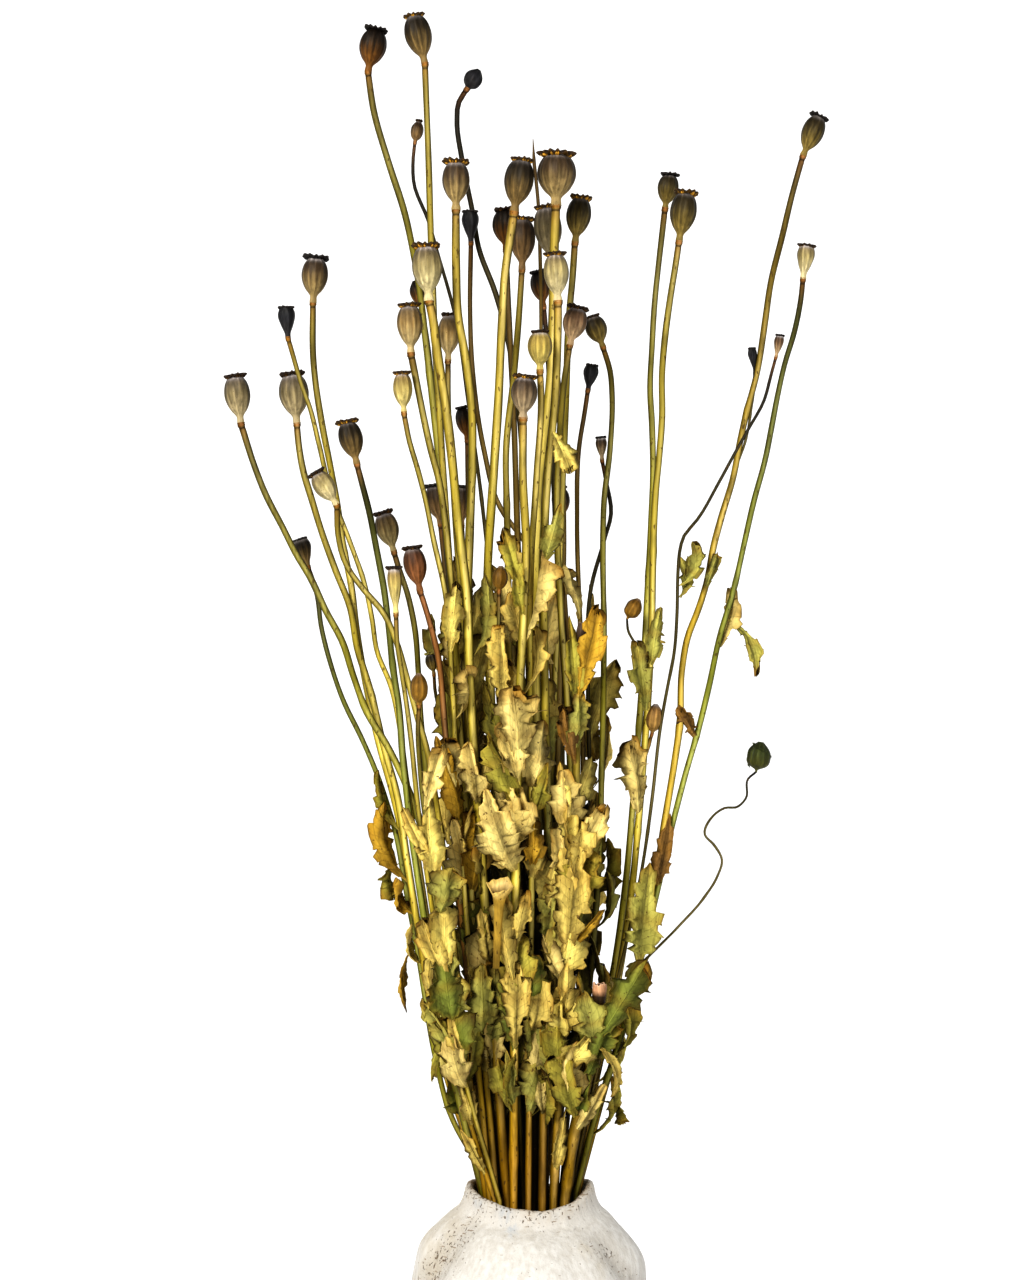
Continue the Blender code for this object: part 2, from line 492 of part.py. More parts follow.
def lay_out():
    """Each upright stalk's line and crown centre, with room between them all."""
    slots = neck_slots()
    gaps = np.full((len(UPRIGHT), len(UPRIGHT)), STEM_GAP)
    for attempt in range(5):
        y = settle_depths(slots, gaps)
        lines = [stalk_line(i, stalk, y, slots) for i, stalk in enumerate(UPRIGHT)]
        lack = lacking_room(lines, slots)
        if lack.max() == 0:
            break
        gaps += np.where(lack > 0, lack + 0.5 * MM, 0)
    return lines


# Solid pieces


def in_collection(name):
    """A new collection in the scene."""
    collection = bpy.data.collections.new(name)
    bpy.context.scene.collection.children.link(collection)
    return collection


def solid(name, mesh):
    """An object for a mesh, in the collection of loose pieces."""
    piece = bpy.data.objects.new(name, mesh)
    bpy.data.collections["loose_pieces"].objects.link(piece)
    return piece


def applied(piece, weld=1e-6):
    """The piece with its modifiers applied, or its curve filled out, as a plain mesh."""
    bpy.context.view_layer.update()
    depsgraph = bpy.context.evaluated_depsgraph_get()
    mesh = bpy.data.meshes.new_from_object(piece.evaluated_get(depsgraph))
    result = solid(piece.name + "_applied", mesh)
    result.matrix_world = piece.matrix_world.copy()
    bpy.data.objects.remove(piece)
    work = bmesh.new()
    work.from_mesh(mesh)
    bmesh.ops.remove_doubles(work, verts=work.verts, dist=weld)
    work.to_mesh(mesh)
    work.free()
    return result


def tube(name, points, radii):
    """A round bar along points, as thick at each as its radius there."""
    curve = bpy.data.curves.new(name, "CURVE")
    curve.dimensions = "3D"
    curve.bevel_depth = max(radii)
    curve.bevel_resolution = 1 if max(radii) * 2 > STEM_SIDES_UP_TO else 0
    curve.use_fill_caps = True
    spline = curve.splines.new("POLY")
    spline.points.add(len(points) - 1)
    for knot, point, radius in zip(spline.points, points, radii):
        knot.co = (*point, 1)
        knot.radius = radius / max(radii)
    return applied(solid(name, curve))


def turned(name, outline, steps):
    """An outline of (radius, height) turned about Z, given from the top down its outer side."""
    mesh = bpy.data.meshes.new(name)
    edges = [(k, k + 1) for k in range(len(outline) - 1)]
    mesh.from_pydata([(radius, 0, height) for radius, height in outline], edges, [])
    piece = solid(name, mesh)
    screw = piece.modifiers.new("turn", "SCREW")
    screw.axis = "Z"
    screw.angle = 2 * pi
    screw.steps = steps
    screw.render_steps = steps
    screw.use_merge_vertices = True
    screw.merge_threshold = 0.00001
    screw.use_smooth_shade = False
    return applied(piece)


def head_outline(stalk, rise, ring):
    """The seed head's outline from the top down, for its height and its ring's radius."""
    if stalk.kind == "stub":
        outer = stalk.width * MM / 2
        bore = outer * 0.62
        floor = max(rise - 6 * MM, rise * 0.3)
        return ((0, floor), (bore, floor), (bore, rise), (outer, rise), (outer * 0.96, 0), (0, 0))
    half = stalk.width * MM / 2
    outline = [(0, 0), (ring, 0)]
    for height, radius in PROFILES[stalk.kind]:
        outline.append((ring if radius is None else max(radius * half, ring * 0.8), height * rise))
    outline.append((0, rise))
    return outline[::-1]


def crown_disc(name, radius, lobes):
    """The disc on top of a seed head, lobed where it is large."""
    work = bmesh.new()
    lobed = lobes == RIBS
    bmesh.ops.create_cone(work, cap_ends=True, segments=2 * lobes if lobed else lobes + 2,
                          radius1=radius * 0.94, radius2=radius, depth=CROWN_THICKNESS)
    for vertex in work.verts if lobed else ():
        sector = round(np.arctan2(vertex.co.y, vertex.co.x) * lobes / pi)
        if sector % 2:
            vertex.co.x *= 0.84
            vertex.co.y *= 0.84
        else:
            vertex.co.z += 0.04 * radius
    mesh = bpy.data.meshes.new(name)
    work.to_mesh(mesh)
    work.free()
    return solid(name, mesh)


def stalk_pieces(stalk, line, crown):
    """The stem, seed head and crown of one stalk, each a closed piece that runs into the next."""
    ring, crown = Vector(line[-1]), Vector(crown)
    axis = (crown - ring).normalized()
    lengths = np.concatenate(([0], np.linalg.norm(np.diff(line, axis=0), axis=1).cumsum()))
    radii = [stem_radius(stalk, share) for share in lengths / lengths[-1]]
    end = 2.0 * MM if stalk.kind != "spike" else (crown - ring).length
    points = [*line, ring + axis * end]
    radii.append(radii[-1] if stalk.kind != "spike" else 0.5 * MM)
    pieces = [tube(stalk.name + "_stem", points, radii)]
    if stalk.kind == "spike":
        return pieces
    ribs = RIBS if stalk.width > 18.4 else RIBS - 2
    if stalk.width < 13:
        ribs = RIBS - 4
    rise = (crown - ring).length
    stand = axis.to_track_quat("Z", "Y").to_matrix().to_4x4()
    head = turned(stalk.name + "_head", head_outline(stalk, rise, radii[-2] * 1.42), ribs)
    head.matrix_world = Matrix.Translation(ring) @ stand
    pieces.append(head)
    if stalk.lip:
        disc = crown_disc(stalk.name + "_crown", stalk.lip * MM / 2, ribs)
        disc.matrix_world = Matrix.Translation(crown + axis * 0.2 * MM) @ stand
        pieces.append(disc)
    return pieces


def shape_of(piece, bloat=0.0):
    """A search tree of a piece's surface in the world, pushed out along its normals."""
    work = bmesh.new()
    work.from_mesh(piece.data)
    work.transform(piece.matrix_world)
    work.normal_update()
    if bloat:
        shifts = [vertex.normal * bloat for vertex in work.verts]
        for vertex, shift in zip(work.verts, shifts):
            vertex.co += shift
    tree = BVHTree.FromBMesh(work)
    work.free()
    return tree


# Leaves


def leaf_surface(base, tip, facing, width, out, fold, twist):
    """Rows of points across a leaf blade that leaves its stem at base and ends at tip."""
    spans = 7 if width > 25.5 else 5 if width > 18.5 else 4
    left, right = LEAF_EDGES[spans]
    middle = base + facing * out * 1.35 + (tip - base) * 0.34
    rows = []
    for k, share in enumerate(np.linspace(0, 1, spans + 1)):
        a, b, c = (1 - share) ** 2, 2 * share * (1 - share), share ** 2
        centre = base * a + middle * b + tip * c
        along = (middle - base) * (1 - share) + (tip - middle) * share
        side = along.cross(facing).normalized()
        normal = side.cross(along).normalized()
        angle = twist * share
        across = side * cos(angle) + normal * sin(angle)
        raised = normal * cos(angle) - side * sin(angle)
        ends = []
        for turn, edge in ((-1, left), (1, right)):
            half = max(width * MM / 2 * edge[k], 0.7 * MM) if k else 0.7 * MM
            tooth = along.normalized() * half * (0.35 if edge[k] > 0.7 else 0)
            ends.append(centre + across * turn * half + raised * half * fold + tooth)
        rows.append((ends[0], centre, ends[1]))
    return rows


def blade(name, rows, thickness):
    """A closed blade of even thickness over rows of points."""
    work = bmesh.new()
    grid = [[work.verts.new(point) for point in row] for row in rows]
    for near, far in zip(grid, grid[1:]):
        for k in range(len(near) - 1):
            work.faces.new((near[k], near[k + 1], far[k + 1], far[k]))
    bmesh.ops.triangulate(work, faces=work.faces)
    mesh = bpy.data.meshes.new(name)
    work.to_mesh(mesh)
    work.free()
    piece = solid(name, mesh)
    solidify = piece.modifiers.new("thick", "SOLIDIFY")
    solidify.thickness = thickness
    solidify.offset = 0
    solidify.use_even_offset = False
    return applied(piece)


def point_on(line, z):
    """The stem's axis at a height."""
    return Vector([np.interp(z, line[:, 2], line[:, k]) for k in range(3)])


def nearest_stem(lines, column, row):
    """The upright stalk whose stem shows nearest to a place on the front of the elevation."""
    best = None
    for stalk, (line, crown) in zip(UPRIGHT, lines):
        place = point_on(line, sight(column, row, 0).z)
        place = point_on(line, sight(column, row, place.y).z)
        if not line[1, 2] <= place.z <= line[-1, 2] - 0.012:
            continue
        cost = abs(column_of(place.x, place.y) - column) * GRID + 0.50 * place.y
        if best is None or cost < best[0]:
            best = (cost, stalk.name, place)
    return best[1], best[2]


def outer_stem(lines, z, azimuth, rank):
    """The stem that stands farthest out in a direction at a height, or the next in rank."""
    ranked = []
    for stalk, (line, crown) in zip(UPRIGHT, lines):
        if line[-1, 2] - 0.02 > z:
            place = point_on(line, z)
            ranked.append((-place.x * cos(azimuth) - place.y * sin(azimuth), stalk.name, place))
    ranked.sort(key=lambda item: item[0])
    return ranked[rank][1], ranked[rank][2]


def leaf_plans(lines):
    """For every leaf: its stalk's name, its base and tip, the way it faces, and its shape."""
    plans = []
    for k, leaf in enumerate(FRONT_LEAVES):
        owner, base = nearest_stem(lines, *leaf.base)
        facing = Vector((0.10 * sin(2.3 * k), -1, 0.12 * cos(1.7 * k))).normalized()
        tip = sight(*leaf.tip, base.y) + facing * leaf.out * MM * 0.75
        shape = (leaf.width, leaf.out * MM, 0.10 + 0.42 * sin(1.9 * k), 0.55 * sin(3.1 * k))
        plans.append((owner, base, tip, facing, *shape))
    low, high = SIDE_LEAF_HEIGHTS
    for k in range(SIDE_LEAVES):
        z = low + (high - low) * ((k * 0.382 + 0.2) % 1)
        azimuth = radians(-38 + 256 * ((k * 0.618) % 1))
        owner, base = outer_stem(lines, z, azimuth, k % 3)
        facing = Vector((cos(azimuth), sin(azimuth), 0))
        upward = 1 if k % 3 else -0.8
        length = (46 + 18 * sin(2.7 * k)) * MM * (1 if z > 0.3 else 0.7)
        swing = Vector((-facing.y, facing.x, 0)) * 0.35 * sin(4.1 * k)
        out = (13 + 5 * cos(1.3 * k)) * MM
        tip = base + (Vector((0, 0, upward)) + swing) * length + facing * out * 0.9
        shape = (18.5 + 6 * sin(5.3 * k), out, 0.10 + 0.4 * sin(1.1 * k), 0.7 * sin(2.1 * k))
        plans.append((owner, base, tip, facing, *shape))
    return plans


def grow_leaves(lines, shapes):
    """Leaves by stalk name, each at its first try that keeps clear of every other stalk."""
    grown = {stalk.name: [] for stalk in STALKS}
    tries = ((1, 1), (1.35, 1), (0.8, 1), (1.7, 1), (2.1, 1), (1.0, 0.8), (1.5, 0.85), (2.0, 0.8), (1.2, 0.62), (1.7, 0.66))
    for k, (owner, base, tip, facing, width, out, fold, twist) in enumerate(leaf_plans(lines)):
        others = [tree for name, trees in shapes.items() if name != owner for tree in trees]
        for attempt, (reach, size) in enumerate(tries):
            end = base + (tip - base) * size + facing * out * (reach - 1)
            turn = twist * (1, 0.6, -0.4, 0.2)[attempt % 4]
            rows = leaf_surface(base, end, facing, width * size, out * reach, fold, turn)
            trial = blade("leaf_trial", rows, LEAF_THICKNESS + 2 * LEAF_GAP)
            tree = shape_of(trial)
            bpy.data.objects.remove(trial)
            if any(tree.overlap(other) for other in others):
                continue
            piece = blade(f"leaf_{k:02d}", rows, LEAF_THICKNESS)
            grown[owner].append(piece)
            shapes[owner].append(shape_of(piece))
            break
    return grown


# Side branches


def branch_line(stalk, parents, offset):
    """A branch's axis from its parent's stem to its own ring, and its crown's centre."""
    line, crown = parents[stalk.branch]
    column, row = stalk.route[-1]
    join = point_on(line, sight(column, row, 0).z)
    join = point_on(line, sight(column, row, join.y).z)
    knots = np.array([(stalk.ring[0], stalk.ring[1])] + list(stalk.route[:-1]), dtype=float)[::-1]
    depths = np.linspace(0, 1, len(knots) + 1)[1:] ** 0.6 * offset + join.y
    points = [join] + [sight(*knot, depth) for knot, depth in zip(knots, depths)]
    return np.array(points), np.array(sight(*stalk.crown, join.y + offset))


def grow_branches(lines, shapes):
    """The pieces of each branch by its parent's name, at its first depth clear of other stalks."""
    parents = {stalk.name: line for stalk, line in zip(UPRIGHT, lines)}
    grown = {stalk.name: [] for stalk in UPRIGHT}
    for stalk in BRANCHES:
        others = [tree for name, trees in shapes.items() if name != stalk.branch for tree in trees]
        for offset in (0, -7, 7, -14, 14, -21, 21, -28, 28):
            line, crown = branch_line(stalk, parents, offset * MM)
            pieces = stalk_pieces(stalk, line, crown)
            trees = [shape_of(piece, 0.8 * MM) for piece in pieces]
            if not any(tree.overlap(other) for tree in trees for other in others):
                grown[stalk.branch] += pieces
                shapes[stalk.branch] += [shape_of(piece) for piece in pieces]
                break
            for piece in pieces:
                bpy.data.objects.remove(piece)
    return grown


# The vase


def fold_shape(z, azimuth):
    """The share of its plain radius that the vase keeps at a height and an azimuth from the front."""
    keep = 1 + 0.010 * sin(3 * azimuth + 0.5)
    fade = np.interp(z, (0, 0.035, 0.110, 0.165, 0.181, 0.192), (0.1, 0.5, 1.0, 1.0, 0.45, 0))
    for high, low, depth, spread in CREASES:
        middle = np.interp(z, (0.125, 0.182), (low, high))
        away = (azimuth - radians(middle) + pi) % (2 * pi) - pi
        keep -= depth * fade * np.exp(-(away / radians(spread)) ** 2)
    for middle, height, rise, spread in BULGES:
        away = (azimuth - radians(middle) + pi) % (2 * pi) - pi
        keep += rise * np.exp(-(away / radians(spread)) ** 2 - ((z - height) / 0.016) ** 2)
    return keep


def vase():
    """The hollow vase: its outline turned about Z, then folded and given an uneven lip."""
    outer = ((0.2015, 0.0440), (0.1995, 0.0476), (0.1930, 0.0492), (0.1870, 0.0525), (0.1815, 0.0605),
             (0.1740, 0.0690), (0.1630, 0.0775), (0.1480, 0.0845), (0.1290, 0.0895), (0.0980, 0.0930),
             (0.0650, 0.0900), (0.0330, 0.0795), (0.0080, 0.0670), (0.0, FOOT_RADIUS))
    inner = ((0.1995, 0.0416), (0.1860, 0.0416), (0.1700, 0.0560), (0.1350, 0.0740), (0.0980, 0.0790),
             (0.0500, 0.0740), (FLOOR, 0.0600))
    outline = [(0, FLOOR)] + [(r, z) for z, r in inner[::-1]] + [(r, z) for z, r in outer] + [(0, 0)]
    pot = turned("vase_turned", outline, VASE_SIDES)
    for vertex in pot.data.vertices:
        x, y, z = vertex.co
        azimuth = np.arctan2(x, -y)
        keep = fold_shape(z, azimuth)
        lip = np.clip((z - 0.176) / 0.018, 0, 1)
        dip = LIP_DIP * cos(2 * azimuth) + 1.0 * MM * sin(3 * azimuth - 1.1)
        vertex.co = (x * keep, y * keep, z - lip * dip)
    return pot


# Putting it together


def material(name, colour, roughness):
    """A plain surface."""
    surface = bpy.data.materials.new(name)
    surface.use_nodes = True
    shader = surface.node_tree.nodes["Principled BSDF"]
    shader.inputs["Base Color"].default_value = (*colour, 1)
    shader.inputs["Roughness"].default_value = roughness
    shader.inputs["Metallic"].default_value = 0
    return surface


def is_whole(mesh):
    """Whether a mesh is closed all round and all in one piece."""
    work = bmesh.new()
    work.from_mesh(mesh)
    closed = all(len(edge.link_faces) == 2 for edge in work.edges)
    work.verts.ensure_lookup_table()
    reached = {work.verts[0]}
    waiting = [work.verts[0]]
    while waiting:
        vertex = waiting.pop()
        for edge in vertex.link_edges:
            other = edge.other_vert(vertex)
            if other not in reached:
                reached.add(other)
                waiting.append(other)
    whole = closed and len(reached) == len(work.verts)
    work.free()
    return whole


def united(name, pieces, nudge):
    """The union of the pieces, the later ones shifted by less than a tenth of a millimetre."""
    joined = in_collection(name + "_joined")
    for k, piece in enumerate(pieces[1:]):
        copy = piece.copy()
        shift = Vector((sin(2.1 * k), cos(1.3 * k), sin(3.7 * k))) * nudge * 0.015 * MM
        copy.matrix_world = Matrix.Translation(shift) @ piece.matrix_world
        joined.objects.link(copy)
    body = solid(name + "_body", pieces[0].data.copy())
    body.matrix_world = pieces[0].matrix_world.copy()
    union = body.modifiers.new("join", "BOOLEAN")
    union.operation = "UNION"
    union.operand_type = "COLLECTION"
    union.collection = joined
    union.solver = "EXACT"
    body = applied(body, 2e-6)
    work = bmesh.new()
    work.from_mesh(body.data)
    bmesh.ops.triangulate(work, faces=work.faces)
    bmesh.ops.dissolve_degenerate(work, dist=1e-6, edges=work.edges)
    work.to_mesh(body.data)
    work.free()
    for copy in list(joined.objects):
        bpy.data.objects.remove(copy)
    bpy.data.collections.remove(joined)
    return body


def fuse(name, pieces, surface, collection):
    """One closed object made of pieces that run into each other."""
    body = pieces[0]
    if len(pieces) > 1:
        for nudge in range(6):
            body = united(name, pieces, nudge)
            if is_whole(body.data) or nudge == 5:
                break
            bpy.data.objects.remove(body)
        for piece in pieces:
            bpy.data.objects.remove(piece)
    bpy.data.collections["loose_pieces"].objects.unlink(body)
    collection.objects.link(body)
    body.name = name
    body.data.name = name
    body.data.transform(body.matrix_world)
    body.matrix_world = Matrix.Identity(4)
    body.data.materials.clear()
    body.data.materials.append(surface)
    return body


def tone_of(name):
    """The tone of a stalk by the words of its name."""
    return next(tone for tone, (words, colour) in TONES.items() if any(word in name for word in words))


def main():
    for old in list(bpy.data.objects):
        bpy.data.objects.remove(old)
    in_collection("loose_pieces")
    bunch = in_collection("vase_of_poppy_seed_heads")
    lines = lay_out()
    pieces = {}
    shapes = {}
    for stalk, (line, crown) in zip(UPRIGHT, lines):
        pieces[stalk.name] = stalk_pieces(stalk, line, crown)
        shapes[stalk.name] = [shape_of(piece) for piece in pieces[stalk.name]]
    pot = vase()
    shapes["vase"] = [shape_of(pot)]
    for name, grown in grow_branches(lines, shapes).items():
        pieces[name] += grown
    for name, grown in grow_leaves(lines, shapes).items():
        if grown:
            pieces[name] += grown
    surfaces = {tone: material(tone, colour, 0.7) for tone, (words, colour) in TONES.items()}
    fuse("vase", [pot], material("ceramic", CERAMIC, 0.55), bunch)
    for name, parts in pieces.items():
        fuse("stalk_" + name, parts, surfaces[tone_of(name)], bunch)
    for loose in list(bpy.data.collections["loose_pieces"].objects):
        bpy.data.objects.remove(loose)
    bpy.data.collections.remove(bpy.data.collections["loose_pieces"])


main()
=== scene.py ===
"""A bunch of dried poppy stalks with their seed heads in a folded ceramic vase, dressed for view.

Metres, +Z up. The front of the bunch faces -Y, as in the solid model that this is fitted to.
"""

from collections import namedtuple
from math import cos, pi, radians, sin

import bpy
import numpy as np
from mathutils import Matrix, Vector


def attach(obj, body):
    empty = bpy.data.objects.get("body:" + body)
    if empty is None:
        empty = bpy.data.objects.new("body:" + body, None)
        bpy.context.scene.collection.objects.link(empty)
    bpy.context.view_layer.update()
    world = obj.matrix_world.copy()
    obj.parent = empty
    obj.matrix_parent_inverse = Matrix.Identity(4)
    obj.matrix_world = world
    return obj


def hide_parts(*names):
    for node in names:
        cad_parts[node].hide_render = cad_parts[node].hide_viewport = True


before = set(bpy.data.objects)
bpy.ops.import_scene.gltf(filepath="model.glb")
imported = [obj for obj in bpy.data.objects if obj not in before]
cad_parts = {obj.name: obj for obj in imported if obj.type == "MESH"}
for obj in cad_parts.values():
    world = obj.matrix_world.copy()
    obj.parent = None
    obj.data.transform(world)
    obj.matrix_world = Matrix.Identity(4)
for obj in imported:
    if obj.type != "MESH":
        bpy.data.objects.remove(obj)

MM = 0.001
TURN = 2 * pi

# The vase
VASE_HEIGHT = 0.200
FLOOR = 0.009
LIP_DIP = 5.5 * MM
NECK_ROOM = 0.0362

# The vase's creases: azimuth from the front under the neck and at the belly in degrees, depth as a
# share of the radius, and half width in degrees. Its bulges: azimuth, height, rise and half width.
CREASES = (
    (-54, -70, 0.105, 15),
    (46, 72, 0.085, 13),
    (20, 34, 0.030, 12),
    (112, 120, 0.100, 16),
    (165, 158, 0.090, 15),
    (-122, -128, 0.095, 16),
)
BULGES = (
    (-92, 0.166, 0.045, 22),
    (84, 0.152, 0.045, 24),
    (-2, 0.150, 0.030, 34),
)
# The vase's profile as (height, radius), from under its foot up to its lip, and on down inside.
# LIP_POINT is the number of its point on the outer edge of the lip.
VASE_OUTSIDE = (
    (0.0, 0.0010), (0.0, 0.0300), (0.0, 0.0595), (0.0004, 0.0630), (0.0030, 0.0648), (0.0080, 0.0670),
    (0.0330, 0.0795), (0.0650, 0.0900), (0.0980, 0.0930), (0.1290, 0.0895), (0.1480, 0.0845),
    (0.1630, 0.0775), (0.1740, 0.0690), (0.1815, 0.0605), (0.1870, 0.0525), (0.1930, 0.0492),
    (0.1985, 0.0480), (0.2012, 0.0465), (0.2015, 0.0440), (0.2004, 0.0424), (0.1970, 0.0417),
)
VASE_INSIDE = (
    (0.1860, 0.0416), (0.1700, 0.0560), (0.1350, 0.0740), (0.0980, 0.0790), (0.0500, 0.0740),
    (0.0120, 0.0620), (FLOOR, 0.0580), (FLOOR, 0.0010),
)
LIP_POINT = 17

# The front elevation: columns run right and rows run down, in steps of 0.75 mm
GRID = 0.75 * MM
AXIS_COLUMN = 530
RIM_ROW = 1192
EYE_COLUMN = 512
EYE_ROW = 640
EYE_DISTANCE = 1.8
COLUMNS = 1024

# Blue-grey dabs on the front of the vase: their column, row and spread in columns, and their depth
DABS = ((505, 1226, 9), (478, 1221, 6), (512, 1240, 6))
DAB_DEPTH = -0.085

# The bunch
HEAD_SPREAD = 0.120
SLOT_SPREAD = 0.034
SAMPLE_STEP = 0.006
STEM_GAP = 1.6 * MM
SLOT_GAP = 1.3 * MM
CHORD_ERROR = 1.0 * MM
FOOT_GAP = 0.6 * MM
# Rounds of moving the stems apart in the neck and in depth, how many of the first ones also pull
# them back to where they are wanted, and how many lay-outs are tried, with ever wider gaps
SLOT_ROUNDS, SLOT_PULLS = 900, 500
DEPTH_ROUNDS, DEPTH_PULLS = 240, 190
ATTEMPTS = 5

# Points around a stem, a stump and a flared end, and along and around a head, the vase, a large
# leaf and a small one
STEM_SIDES = 12
STUMP_SIDES = 40
FLARE_SIDES = 36
HEAD_GRID = (36, 60)
VASE_GRID = (200, 216)
LARGE_LEAF = (44, 26)
SMALL_LEAF = (30, 16)

# Stems: the last points' steps past the ring in mm, into a head and up a spike before its tip, a
# spike's taper over them, the shares of the last span with more points, and those of the joints
INTO_HEAD = (0.4, 0.8, 1.3, 2.0)
UP_SPIKE = (2.0, 5.0, 9.0)
SPIKE_TAPER = (0.9, 0.75, 0.5, 0.2)
BELOW_HEAD = (0.15, 0.3, 0.45, 0.6, 0.72, 0.82, 0.92)
STEM_JOINTS = (0.34, 0.56, 0.75)
SPINES = 110

# Light: the paper's glow, the sky, and each lamp's name, place, size in metres, power and colour
STAGE_GLOW = 0.48
SKY = 0.15
LAMP_TARGET = (0.0, 0.0, 0.55)
LAMPS = (
    ("key", (-1.3, -2.7, 2.2), 0.9, 92.0, (1.0, 0.97, 0.92)),
    ("fill", (1.9, -2.4, 0.9), 1.2, 14.0, (0.96, 0.98, 1.0)),
)
# The camera's sensor in mm
SENSOR = 36
# The paper bowl: its floor's radius, the radius of its curve up to the wall, the wall's top and its
# points around
PAPER_FLOOR = 3.4
PAPER_CURVE = 1.4
PAPER_TOP = 5.0
PAPER_SIDES = 96

# Seed head profiles from the swollen ring at the stem's top to the crown: (height, radius),
# as shares of the head's height and of its half width. A radius of None is the ring's own.
PROFILES = {
    "round": ((0.05, None), (0.15, 0.27), (0.30, 0.66), (0.50, 0.97), (0.70, 1.0), (0.89, 0.79),
              (1.0, 0.50)),
    "tapered": ((0.05, None), (0.13, 0.34), (0.42, 0.72), (0.80, 1.0), (1.0, 0.80)),
    "bud": ((0.06, None), (0.20, 0.72), (0.48, 1.0), (0.78, 0.80), (1.0, 0.22)),
    "stub": ((0.5, None), (1.0, None)),
}
# A crown's outline from under its disc, over its edge to its middle: the radius as a share of the
# crown's, and the height as a share of its thickness
CROWN_OUTLINE = (
    (0.32, -1.7), (0.44, -0.95), (0.74, -0.62), (0.94, -0.42), (1.0, -0.10), (0.985, 0.22),
    (0.90, 0.42), (0.72, 0.52), (0.50, 0.58), (0.30, 0.66), (0.12, 0.9),
)
# A hollow stump's outline, out along its skin and from BORE_START down its bore: the radius as a
# share of the stump's and the height as a share of its rise
STUMP_OUTLINE = (
    (0.90, -0.6), (0.97, 0.0), (1.0, 0.5), (1.0, 0.90), (0.97, 1.0), (0.74, 1.0), (0.64, 0.92),
    (0.60, 0.5), (0.20, 0.42),
)
BORE_START = 6
# The flared end's outline up its skin and down its mouth: the share of its rise, the radius in mm
# and the colour
TAN_SKIN = (0.40, 0.27, 0.07)
PALE_SKIN = (0.62, 0.46, 0.18)
PALE_LIP = (0.72, 0.56, 0.27)
# The bore is near black: painted shade down the hollow
BORE_SHADE = (0.10, 0.06, 0.02)
FLARE_OUTLINE = (
    (0.0, 2.4, TAN_SKIN), (0.45, 2.9, TAN_SKIN), (0.70, 3.4, TAN_SKIN), (0.84, 4.6, TAN_SKIN),
    (0.94, 7.4, PALE_SKIN), (1.0, 10.2, PALE_SKIN), (1.0, 9.6, PALE_SKIN), (0.95, 7.0, PALE_LIP),
    (0.86, 4.0, BORE_SHADE), (0.78, 2.4, BORE_SHADE), (0.72, 0.6, BORE_SHADE),
)
FLARE_COLUMN, FLARE_ROW = 499, 920
FLARE_FOOT, FLARE_MOUTH = (496, 968), (500, 885)

Stalk = namedtuple("Stalk", "name kind looks ring crown width lip stem depth route branch", defaults=(None,))

